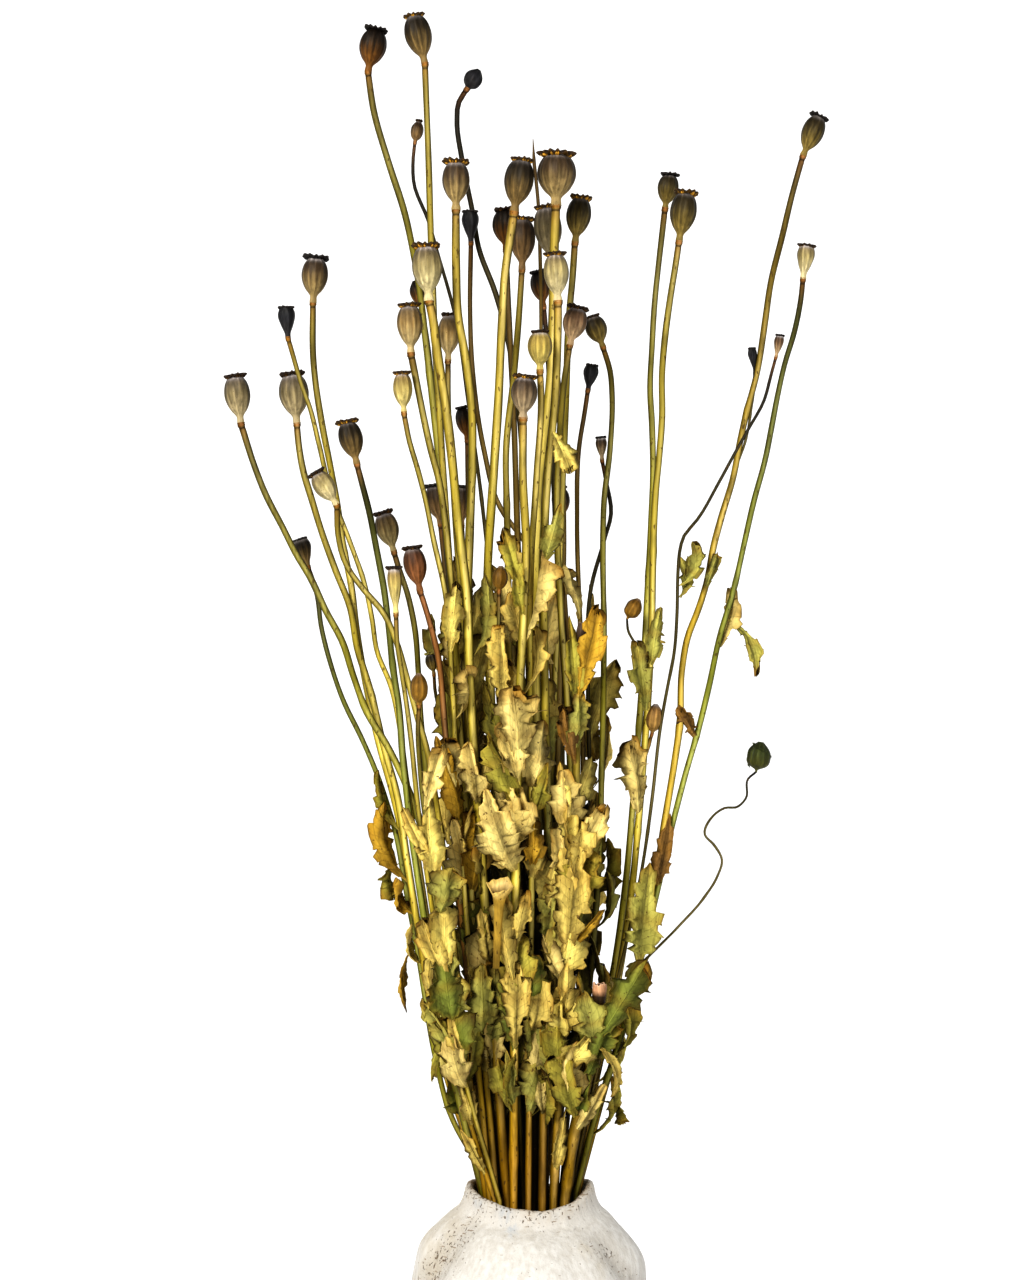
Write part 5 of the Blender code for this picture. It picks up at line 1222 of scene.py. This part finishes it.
def leaf_edge(share, length, broad, seed):
    """A leaf edge's distance from the midrib: widest near the end, with pointed lobes at odd spaces."""
    grow = np.clip(share / (0.42 + 0.36 * broad), 0, 1)
    outline = 0.10 + 0.90 * grow * grow * (3 - 2 * grow)
    outline = outline * (1 - share ** (3 + 5 * broad)) ** (0.70 - 0.40 * broad)
    spread = share + 0.10 * np.sin(5 * share + seed) + 0.04 * np.sin(13 * share - seed)
    place = max(length / LOBE_LENGTH, 2.5) * spread + 0.3 * seed
    deep = 0.36 + 0.26 * np.sin(2.7 * np.floor(place) + seed)
    fine = (place * 2.6) % 1
    notched = 1 - deep + deep * 1.35 * (place % 1) ** 1.5 + 0.16 * fine ** 1.5
    return np.maximum(outline * notched + 0.03, 0.04)


def torn_end(u, v, length, broad, seed):
    """How far a blade reaches on or falls short: torn over its end and wavy along its edges."""
    torn = ((2.1 * v + 0.37 * seed) % 1) * 0.6 + ((3.3 * v - 0.21 * seed) % 1) * 0.4
    reach = np.clip((u - 0.62) / 0.38, 0, 1) ** 2 * (torn - 0.75) * 0.26 * length * broad
    return reach + 2.0 * MM * np.sin(TURN * length / (8.5 * MM) * u + seed) * np.abs(v) ** 3


def leaf_folds(u, v, seed):
    """How a blade folds over its width and curls at its edges, in shares of its half width."""
    folds = 0.20 * np.sin(TURN * 0.75 * v + 2.4 * u + seed)
    folds = folds + 0.08 * np.sin(TURN * 1.45 * v - 4 * u + 2 * seed)
    folds = folds + 0.03 * np.sin(TURN * 2.3 * v + 7 * u)
    return folds + 0.42 * np.abs(v) ** 2.5 * np.sin(4.6 * u + seed + 1.1 * v)


def leaf_tint(tint, u, v, folds, seed):
    """A blade's colour: crisp brown at its edges and end, painted shade in its folds and along its very edge,
    a painted highlight on its crests, and pale where it joins.
    """
    dry = np.clip(np.abs(v) ** 6 * 0.50 + 0.30 * np.sin(7 * u + seed) ** 8 + u ** 8 * 0.5, 0, 1)[..., None]
    hollow = np.clip(0.5 - 2.2 * folds, 0, 1)[..., None]
    tint = blend(tint, CRISP_COLOUR, dry)
    # Painted shade in the folds and along the very edge, and a painted highlight on the crests
    tint = tint * (1.22 - 0.84 * hollow) * (1 - 0.55 * np.abs(v) ** 16)[..., None]
    return blend(tint, MIDRIB_COLOUR, 0.5 * np.clip(1 - 5 * u, 0, 1)[..., None])


def leaf_skin(plan, tint, seed, grid):
    """A dried leaf: a bowed midrib with ragged, lobed edges and a torn end, folded and crumpled.

    Along it u runs from 0 to 1. Across it v runs from -1 to 1 and back again as cos t, with the
    skin's thickness as sin t."""
    share = np.linspace(0, 1, grid[0])
    t = turn_steps(grid[1])
    u, v = share[:, None], np.cos(t)[None, :]
    base, tip, facing = np.array(plan.base), np.array(plan.tip), np.array(plan.facing)
    centre, along, across, raised = leaf_spine(base, tip, facing, plan.out, plan.twist, share, seed)
    length = np.linalg.norm(tip - base)
    broad = 0.5 + 0.5 * sin(1.7 * seed)
    left = leaf_edge(share, length, broad, seed)[:, None]
    right = leaf_edge(share, length, broad, seed + 2.1)[:, None]
    half = np.where(v < 0, left, right) * plan.width * MM / 2
    half = np.maximum(half, 0.9 * MM * (1 - 0.6 * u))
    forward = torn_end(u, v, length, broad, seed)
    folds = leaf_folds(u, v, seed)
    lift = half * (plan.fold * np.abs(v) ** 1.5 + folds * np.clip(5 * u, 0, 1))
    crumple = 0.45 * MM * np.sin(9 * u + 2.3 * v + seed) * np.sin(14 * u - 3.1 * v + 2 * seed)
    crumple = crumple + 0.22 * MM * np.sin(31 * u + 5 * v) * np.sin(23 * u - 7 * v + seed)
    thick = -0.24 * MM * np.sin(t)[None, :]
    rise = lift + crumple * np.clip(6 * u, 0, 1) * np.clip(half / (3 * MM), 0, 1) + thick
    points = centre + across * (half * v)[..., None] + raised * rise[..., None] + along * forward[..., None]
    place = np.stack(np.broadcast_arrays(half * v, u * length, sin(11 * seed)), axis=-1)
    return closed_skin(points, leaf_tint(tint, u, v, folds, seed), place, LEAF)


# Shaders


class Wire:
    """A number or colour on its way through a shader, with Python's own signs for its maths."""

    def __init__(self, paint, socket):
        self.paint = paint
        self.socket = socket

    def __add__(self, other):
        return self.paint.maths("ADD", self, other)

    def __radd__(self, other):
        return self.paint.maths("ADD", other, self)

    def __sub__(self, other):
        return self.paint.maths("SUBTRACT", self, other)

    def __rsub__(self, other):
        return self.paint.maths("SUBTRACT", other, self)

    def __mul__(self, other):
        return self.paint.maths("MULTIPLY", self, other)

    def __rmul__(self, other):
        return self.paint.maths("MULTIPLY", other, self)

    def __truediv__(self, other):
        return self.paint.maths("DIVIDE", self, other)

    def __pow__(self, other):
        return self.paint.maths("POWER", self, other)

    def size(self):
        """Its distance from nought."""
        return self.paint.maths("ABSOLUTE", self, 0.0)

    def part(self):
        """What is left of it over a whole number."""
        return self.paint.maths("FRACT", self, 0.0)

    def between(self, low, high):
        """0 below low, 1 above high and an eased step between."""
        return self.paint.node("ShaderNodeMapRange", {"interpolation_type": "SMOOTHSTEP"},
                               {"Value": self, "From Min": low, "From Max": high})


class Paint:
    """A material, and the means to wire up its shader."""

    def __init__(self, name, **constants):
        self.material = bpy.data.materials.new(name)
        self.material.use_nodes = True
        self.tree = self.material.node_tree
        self.shader = self.tree.nodes["Principled BSDF"]
        for socket, value in constants.items():
            self.shader.inputs[socket.replace("_", " ")].default_value = value

    def feed(self, value, socket):
        """Give a socket a wire or a constant."""
        if isinstance(value, Wire):
            self.tree.links.new(value.socket, socket)
        elif isinstance(value, tuple) and socket.type == "RGBA":
            socket.default_value = (*value, 1)
        else:
            socket.default_value = value

    def node(self, kind, settings, sockets, output=0):
        """A new node's output, after its settings and its sockets by name or number."""
        node = self.tree.nodes.new(kind)
        for name, value in settings.items():
            setattr(node, name, value)
        for name, value in sockets.items():
            self.feed(value, node.inputs[name])
        return Wire(self, node.outputs[output])

    def maths(self, operation, first, second):
        """One sum of two numbers."""
        return self.node("ShaderNodeMath", {"operation": operation}, {0: first, 1: second})

    def mix(self, share, first, second):
        """A blend of two colours."""
        return self.node("ShaderNodeMix", {"data_type": "RGBA"}, {0: share, 6: first, 7: second}, 2)

    def tone(self, colour, share):
        """A colour made lighter or darker by a number."""
        return self.node("ShaderNodeVectorMath", {"operation": "SCALE"}, {0: colour, "Scale": share})

    def spot(self, stretch=(1.0, 1.0, 1.0)):
        """A point on the object, stretched."""
        place = self.node("ShaderNodeTexCoord", {}, {}, "Object")
        return self.node("ShaderNodeVectorMath", {"operation": "MULTIPLY"}, {0: place, 1: stretch})

    def noise(self, spot, scale, detail=3.0):
        """Smooth noise from 0 to 1."""
        return self.node("ShaderNodeTexNoise", {}, {"Vector": spot, "Scale": scale, "Detail": detail})

    def attribute(self, name):
        """A mesh attribute as a vector."""
        return self.node("ShaderNodeAttribute", {"attribute_name": name}, {}, "Vector")

    def parts(self, vector):
        """A vector's three numbers."""
        split = self.node("ShaderNodeSeparateXYZ", {}, {0: vector})
        return [Wire(self, socket) for socket in split.socket.node.outputs]

    def finish(self, colour, height, distance):
        """Wire the surface's colour and its bumps up to the shader."""
        self.feed(colour, self.shader.inputs["Base Color"])
        bump_node = self.node("ShaderNodeBump", {}, {"Height": height, "Distance": distance})
        self.feed(bump_node, self.shader.inputs["Normal"])
        return self.material


def stem_paint():
    """Straw-like skin with streaks up it, duller patches and brown flecks."""
    paint = Paint("stem", Roughness=0.60, Specular_IOR_Level=0.14)
    tint = paint.attribute("tint")
    streak = paint.noise(paint.spot((1.0, 1.0, 0.04)), 560.0)
    patch = paint.noise(paint.spot((1.0, 1.0, 0.4)), 75.0, 4.0)
    fleck = paint.noise(paint.spot((1.0, 1.0, 0.45)), 380.0, 2.0).between(0.64, 0.70)
    colour = paint.tone(tint, 0.28 + 1.38 * streak)
    colour = paint.mix(patch.between(0.50, 0.72) * 0.60, colour, paint.tone(tint, 0.42))
    colour = paint.mix(patch.between(0.50, 0.28) * 0.45, colour, paint.tone(tint, 1.35))
    colour = paint.mix(fleck * 0.75, colour, (0.075, 0.042, 0.014))
    return paint.finish(colour, streak + 0.5 * patch, 0.25 * MM)


def capsule_paint():
    """A dry seed head's skin: paler up its ribs, darker between, with bloom and fine wrinkles."""
    paint = Paint("capsule", Roughness=0.55, Specular_IOR_Level=0.22)
    tint = paint.attribute("tint")
    wave, share = paint.parts(paint.attribute("place"))[:2]
    fine = paint.noise(paint.spot((1.0, 1.0, 0.16)), 480.0)
    bloom = paint.noise(paint.spot(), 130.0, 4.0)
    rib = wave * 0.5 + 0.5
    band = share.between(0.10, 0.30) * share.between(1.02, 0.90)
    drift = paint.noise(paint.spot((1.0, 1.0, 0.30)), 190.0, 2.0)
    ridge = rib ** 3.0 * drift.between(0.30, 0.62)
    colour = paint.tone(tint, 0.97 + band * (0.75 * ridge - 0.14) + 1.3 * (fine - 0.5))
    colour = paint.mix(bloom.between(0.50, 0.75) * 0.40, colour, paint.tone(tint, 0.50))
    colour = paint.mix(bloom.between(0.48, 0.25) * 0.30, colour, paint.tone(tint, 1.7))
    speck = paint.noise(paint.spot(), 1300.0, 1.0).between(0.69, 0.74)
    colour = paint.mix(speck * 0.6, colour, (0.030, 0.018, 0.010))
    return paint.finish(colour, fine + rib ** 2.0 * 0.8 * band, 0.35 * MM)


def crown_paint():
    """A brittle, dark crown, paler along its rays."""
    paint = Paint("crown", Roughness=0.60, Specular_IOR_Level=0.25)
    tint = paint.attribute("tint")
    wave = paint.parts(paint.attribute("place"))[0]
    grain = paint.noise(paint.spot(), 900.0, 4.0)
    ray = (wave * 0.5 + 0.5) ** 6.0
    colour = paint.tone(tint, 0.35 + 1.2 * grain + 0.8 * ray)
    return paint.finish(colour, grain + ray, 0.4 * MM)


def leaf_paint():
    """A dried leaf: a pale midrib, side veins, blotches, painted shade along wrinkle lines and brown
    freckles.
    """
    paint = Paint("leaf", Roughness=0.66, Specular_IOR_Level=0.15)
    tint = paint.attribute("tint")
    aside, along, own = paint.parts(paint.attribute("place"))
    cloud = paint.noise(paint.spot(), 120.0, 5.0)
    grain = paint.noise(paint.spot(), 700.0, 4.0)
    waver = (cloud - 0.5) * (2.2 * MM)
    vein = ((along - aside.size() * 0.85 + waver) / (6.5 * MM)).part()
    vein = (vein - 0.5).size().between(0.40, 0.48)
    midrib = aside.size().between(0.9 * MM, 0.35 * MM)
    colour = paint.tone(tint, 0.66 + 0.44 * cloud + 0.24 * grain)
    colour = paint.mix(cloud.between(0.54, 0.72) * 0.35, colour, paint.tone(tint, 0.50))
    colour = paint.mix(vein * 0.22, colour, paint.tone(tint, 0.45))
    colour = paint.mix(midrib * 0.30, colour, paint.tone(tint, 1.5))
    flow = paint.node("ShaderNodeCombineXYZ", {}, {0: aside, 1: along * 0.20, 2: own})
    line = paint.noise(flow, 210.0, 2.0)
    # Painted shade along thin wrinkle lines
    wrinkle_shade = (line - 0.5).size().between(0.045, 0.010)
    colour = paint.mix(wrinkle_shade * 0.36, colour, paint.tone(tint, 0.30))
    freckle = paint.noise(paint.spot(), 330.0, 2.0).between(0.67, 0.72)
    colour = paint.mix(freckle * 0.75, colour, (0.085, 0.042, 0.014))
    return paint.finish(colour, grain * 0.4 + cloud * 0.7 + vein * 0.3 + midrib * 0.8, 0.6 * MM)


def ceramic_paint():
    """Rough off-white plaster: brushed upright, with painted shade in its creases, pitted brown in its
    creases and at its lip, and browner at the lip's inner edge, partly as painted shade.
    """
    paint = Paint("ceramic", Roughness=0.78, Specular_IOR_Level=0.25)
    crease_shade_and_pits, lip, dove = paint.parts(paint.attribute("place"))
    brushed = paint.noise(paint.spot((1.0, 1.0, 0.16)), 260.0, 5.0)
    cloud = paint.noise(paint.spot(), 22.0, 4.0)
    colour = paint.mix(brushed.between(0.25, 0.75), (0.54, 0.517, 0.475), (0.665, 0.652, 0.622))
    colour = paint.mix(cloud.between(0.50, 0.70) * 0.5, colour, (0.52, 0.455, 0.345))
    # Painted shade in the creases
    colour = paint.mix(crease_shade_and_pits * 0.34, colour, (0.36, 0.320, 0.260))
    # Brown wear at the lip, strongest at its inner edge, where it is partly painted shade
    colour = paint.mix(lip * brushed.between(0.30, 0.62) * 0.42, colour, (0.36, 0.285, 0.19))
    colour = paint.mix(dove * brushed.between(0.35, 0.60), colour, (0.40, 0.43, 0.46))
    pits = paint.noise(paint.spot((1.0, 1.0, 0.55)), 560.0, 2.0)
    worn = crease_shade_and_pits * 0.10 + lip * 0.11 + (cloud - 0.5) * 0.20
    mark = (pits + worn).between(0.72, 0.78)
    colour = paint.mix(mark * 0.70, colour, (0.150, 0.095, 0.050))
    scratch = paint.noise(paint.spot((0.35, 0.35, 1.6)), 420.0, 2.0)
    colour = paint.mix((scratch + worn * 0.8).between(0.72, 0.76) * 0.6, colour, (0.19, 0.125, 0.070))
    height = brushed * 0.7 + cloud - mark * 1.4 + paint.noise(paint.spot(), 900.0, 2.0) * 0.25
    return paint.finish(colour, height, 1.1 * MM)


def stage_paint():
    """Plain near-white paper that glows a little."""
    paint = Paint("paper", Roughness=0.9, Emission_Strength=STAGE_GLOW)
    behind = paint.parts(paint.spot())[1].between(-1.2, 0.9)
    paint.feed((0.55, 0.55, 0.55), paint.shader.inputs["Base Color"])
    glow = paint.mix(behind, (0.27, 0.27, 0.28), (1.0, 1.0, 1.0))
    paint.feed(glow, paint.shader.inputs["Emission Color"])
    return paint.material


# Putting it together


def stalk_patches(stalk, path, crown_centre, seed):
    """A stalk's stem, head and crown, without its leaves."""
    head, crown_look, stem = stalk.looks.split()
    path = np.array(path)
    crown_centre = np.array(crown_centre)
    stand = standing(path[-1], crown_centre)
    patches = stem_patches(stalk, path, crown_centre, stem, seed)
    if stalk.kind == "stub":
        return patches + [broken_end(stalk, stand, head, seed)]
    if stalk.kind == "spike":
        return patches
    ring_radius = stem_radius(stalk, 1.0) * 1.14
    patches.append(capsule(stalk, stand, ring_radius, head, seed))
    if stalk.lip:
        patches.append(crown(stalk, stand, crown_look, seed))
        if CROWN_COLOURS[crown_look][2]:
            patches += pores(stalk, stand, crown_look, seed)
    if stalk.name == "wandering_thread":
        patches += spines(stand, stalk)
    return patches


def leaf_look(k, base):
    """A leaf's colour by its place in the tables and in the bunch."""
    if k < len(FRONT_LEAVES):
        return FRONT_LEAVES[k].look
    row = row_of(base.z, base.y)
    looks = HIGH_LEAF_LOOKS if row < HIGH_ROW else MIDDLE_LEAF_LOOKS if row < LOW_ROW else LOW_LEAF_LOOKS
    return looks[(k * 3) % len(looks)]


def inner_leaves(lines):
    """Plans for the smaller leaves inside the bunch, all along its stems."""
    plans = []
    core = [(stalk, line) for stalk, (line, crown) in zip(UPRIGHT, lines)]
    for k in range(INNER_LEAVES):
        stalk, line = core[(k * 17) % len(core)]
        z = INNER_LOW + INNER_SPAN * scattered(k, start=0.31)
        base = point_on(line, z)
        if line[-1, 2] < z + 0.03 or abs(base.x) > INNER_REACH:
            continue
        front = k % 5 if row_of(base.z, base.y) > NO_TUFTS else k % 4 == 0
        azimuth = radians((-90 if front else 90) + 75 * sin(2.9 * k) + 40 * sin(5.1 * k))
        facing = Vector((cos(azimuth), sin(azimuth), 0.15 * sin(k))).normalized()
        length = (51 + 15 * sin(3.3 * k)) * MM
        out = (9 + 4 * sin(1.7 * k)) * MM
        lean = Vector((-facing.y, facing.x, 0)) * 0.40 * sin(4.7 * k)
        tip = base + (Vector((0, 0, 1)) + lean) * length + facing * out
        shape = (22 + 7 * sin(2.3 * k), out, 0.10 + 0.45 * sin(1.3 * k), 0.9 * sin(2.1 * k))
        plans.append(Plan(stalk.name, base, tip, facing, *shape))
    return plans


def front_tufts(lines):
    """Plans for the leaves that stand close over the front stems between the large ones."""
    plans = []
    for k in range(TUFTS):
        row = TUFT_TOP + TUFT_SPAN * scattered(k, start=0.2)
        column = BUNCH_COLUMN + np.interp(row, BUNCH_ROWS, BUNCH_HALF) * (2 * scattered(k, 0.445, 0.07) - 1)
        hides_hollow = any(abs(column - middle) < half and top < row < bottom
                           for middle, half, top, bottom in HOLLOW_STALKS)
        if hides_hollow or row < NO_TUFTS or row < FEW_TUFTS and k % 5 < 2:
            continue
        owner, base = nearest_stem(lines, column, row)
        facing = Vector((0.25 * sin(2.1 * k), -1, 0.15 * cos(1.9 * k))).normalized()
        out = (12 + 4 * sin(1.3 * k)) * MM
        length = 70 + 20 * sin(3.7 * k)
        tip_column = column_of(base.x, base.y) + 14 * sin(2.7 * k)
        tip = sight(tip_column, row - length, base.y) + facing * out * 0.7
        shape = (26 + 8 * sin(1.9 * k + 1), out, 0.05 + 0.40 * sin(2.9 * k), 0.6 * sin(1.7 * k))
        plans.append(Plan(owner, base, tip, facing, *shape))
    return plans


def flared_end(lines):
    """The broken top of a hollow stalk among the leaves: it flares to a ragged, pale mouth, near black inside
    with painted shade.
    """
    owner, base = nearest_stem(lines, FLARE_COLUMN, FLARE_ROW)
    foot = sight(*FLARE_FOOT, base.y - 15 * MM)
    mouth = sight(*FLARE_MOUTH, base.y - 24 * MM)
    stand = standing(np.array(foot), np.array(mouth))
    share = np.array([share for share, radius, colour in FLARE_OUTLINE])[:, None]
    radius = np.array([radius for share, radius, colour in FLARE_OUTLINE])[:, None] * MM
    tint = np.array([colour for share, radius, colour in FLARE_OUTLINE])[:, None]
    t = turn_steps(FLARE_SIDES)
    x, y = radius * np.cos(t), 0.7 * radius * np.sin(t)
    ragged = (share > 0.92) * (1.5 * np.sin(3 * t + 1) + 0.9 * np.sin(5 * t) + 0.5 * np.sin(11 * t)) * MM
    z = share * stand[1] + ragged - 0.45 * y * (share > 0.80)
    return owner, closed_skin(placed(stand, x, y, z), tint, PLAIN_PLACE, STEM)


def lip_dip(azimuth):
    """How far the vase's lip dips at an azimuth: slow waves, with smaller ones on them."""
    dip = LIP_DIP * np.cos(2 * azimuth) + 1.0 * MM * np.sin(3 * azimuth - 1.1)
    return dip + 0.7 * MM * np.sin(7 * azimuth) * np.sin(4 * azimuth + 1)


def dabs(x, y, z):
    """How much of the blue-grey dabs each point of the vase's front has."""
    shown = np.zeros_like(x)
    for column, row, spread in DABS:
        spot = sight(column, row, DAB_DEPTH)
        away = ((x - spot.x) ** 2 + (z - spot.z) ** 2) / (spread * GRID) ** 2
        shown = shown + (y < 0) * np.exp(-away) * 0.7
    return shown


def vase_skin():
    """The vase: its profile turned about Z, folded in at its creases, with an uneven lip."""
    outline = np.array(VASE_OUTSIDE + VASE_INSIDE)
    lengths = lengths_along(outline)
    places = np.linspace(0, lengths[-1], VASE_GRID[0])
    z = np.maximum(smooth(places, lengths, outline[:, 0]), 0)[:, None]
    radius = smooth(places, lengths, outline[:, 1])[:, None]
    t = turn_steps(VASE_GRID[1])[None, :]
    azimuth = np.arctan2(np.cos(t), -np.sin(t))
    outside = (places < lengths[len(VASE_OUTSIDE) - 1])[:, None]
    lumps = 0.006 * np.sin(4 * t + 30 * z) * np.sin(60 * z) + 0.004 * np.sin(9 * t - 55 * z)
    lumps = lumps + 0.002 * np.sin(23 * t)
    keep = fold_shape(z, azimuth) + outside * lumps * np.clip(z / 0.02, 0, 1)
    x, y = radius * keep * np.cos(t), radius * keep * np.sin(t)
    height = z - np.clip((z - 0.176) / 0.018, 0, 1) * lip_dip(azimuth)
    # How far in each point is creased: it carries painted shade and brown pits into the creases
    crease_shade_and_pits = np.clip((1.0 - keep) / 0.07, 0, 1) * np.clip((0.199 - z) / 0.02, 0, 1)
    # Brown wear round the rim, made stronger at the lip's inner edge as painted shade
    inner_lip_shade = np.clip((places - lengths[LIP_POINT]) / (3 * MM), 0, 1)[:, None]
    rim_wear_and_shade = bump(z, 0.199, 0.009) * (1 + 1.3 * inner_lip_shade)
    points = np.stack(np.broadcast_arrays(x, y, height), axis=-1)
    place = np.stack(np.broadcast_arrays(crease_shade_and_pits, rim_wear_and_shade, dabs(x, y, height)), axis=-1)
    return closed_skin(points, CERAMIC, place, 0)


def stage_skin():
    """A wide bowl of paper: a flat floor that curves up into a wall all round."""
    bend = np.linspace(0, pi / 2, 40)
    floor = np.linspace(0.01, PAPER_FLOOR, 20)
    radius = np.concatenate((floor, PAPER_FLOOR + PAPER_CURVE * np.sin(bend), [PAPER_FLOOR + PAPER_CURVE]))
    rise = np.concatenate((0 * floor, PAPER_CURVE - PAPER_CURVE * np.cos(bend), [PAPER_TOP]))
    t = turn_steps(PAPER_SIDES)
    x, y = radius[:, None] * np.cos(t), radius[:, None] * np.sin(t)
    z = np.broadcast_to(rise[:, None] - 0.3 * MM, x.shape)
    points = np.stack((x, y, z), axis=-1)[::-1].reshape(-1, 3)
    ring, side = np.meshgrid(np.arange(len(radius) - 1) * PAPER_SIDES, np.arange(PAPER_SIDES), indexing="ij")
    here, after = ring + side, ring + (side + 1) % PAPER_SIDES
    faces = np.stack((here, after, after + PAPER_SIDES, here + PAPER_SIDES), axis=-1).reshape(-1, 4)
    middle = len(points) - PAPER_SIDES + np.arange(PAPER_SIDES)
    mesh = bpy.data.meshes.new("paper_bowl")
    mesh.from_pydata(points.tolist(), [], faces.tolist() + [middle.tolist()])
    mesh.polygons.foreach_set("use_smooth", np.ones(len(mesh.polygons), dtype=bool))
    mesh.materials.append(stage_paint())
    return link("paper_bowl", mesh)


def lamp(name, place, size, power, colour):
    """A square soft light that points at the bunch."""
    light = bpy.data.lights.new(name, "AREA")
    light.size = size
    light.energy = power
    light.color = colour
    piece = link(name, light)
    piece.location = place
    piece.rotation_euler = (Vector(LAMP_TARGET) - Vector(place)).to_track_quat("-Z", "Y").to_euler()
    return piece


def set_stage():
    """The paper bowl, the lamps, the sky and the camera."""
    stage_skin()
    for values in LAMPS:
        lamp(*values)
    world = bpy.data.worlds.new("sky")
    world.use_nodes = True
    sky = world.node_tree.nodes["Background"].inputs
    sky["Color"].default_value = (1, 1, 1, 1)
    sky["Strength"].default_value = SKY
    scene = bpy.context.scene
    scene.world = world
    scene.view_settings.view_transform = "Standard"
    scene.view_settings.look = "High Contrast"
    data = bpy.data.cameras.new("eye")
    data.sensor_fit = "HORIZONTAL"
    data.sensor_width = SENSOR
    data.lens = SENSOR * EYE_DISTANCE / (COLUMNS * GRID)
    eye = link("eye", data)
    eye.location = (EYE_X, -EYE_DISTANCE, EYE_HEIGHT)
    eye.rotation_euler = (pi / 2, 0, 0)
    scene.camera = eye


def grow_bunch():
    """Each upright stalk's patches by its name, with those of its side shoots and its leaves."""
    lines, paths = lay_out()
    patches = {}
    for i, (stalk, path) in enumerate(zip(UPRIGHT, paths)):
        patches[stalk.name] = stalk_patches(stalk, *path, 1.7 * i)
    parents = {stalk.name: line for stalk, line in zip(UPRIGHT, lines)}
    for i, stalk in enumerate(BRANCHES):
        path, crown_centre = branch_line(stalk, parents)
        patches[stalk.branch] += stalk_patches(stalk, rounded(path), crown_centre, 2.9 * i + 1)
    large = leaf_plans(lines)
    for k, plan in enumerate(large + front_tufts(lines) + inner_leaves(lines)):
        tint = LEAF_COLOURS[leaf_look(k, plan.base)]
        grid = LARGE_LEAF if k < len(large) else SMALL_LEAF
        patches[plan.owner].append(leaf_skin(plan, tint, 1.3 * k, grid))
    owner, flared = flared_end(lines)
    patches[owner].append(flared)
    return patches


def main():
    """Dress the stalks and the vase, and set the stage."""
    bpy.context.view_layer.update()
    patches = grow_bunch()
    paints = [stem_paint(), capsule_paint(), crown_paint(), leaf_paint()]
    for stalk in UPRIGHT:
        piece = build("poppy_" + stalk.name, patches[stalk.name], paints)
        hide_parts("stalk_" + stalk.name)
        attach(piece, "root")
        tone_of(stalk.name) + "_stalk"
    pot = build("vase_skin", [vase_skin()], [ceramic_paint()])
    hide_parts("vase")
    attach(pot, "root")
    set_stage()


main()
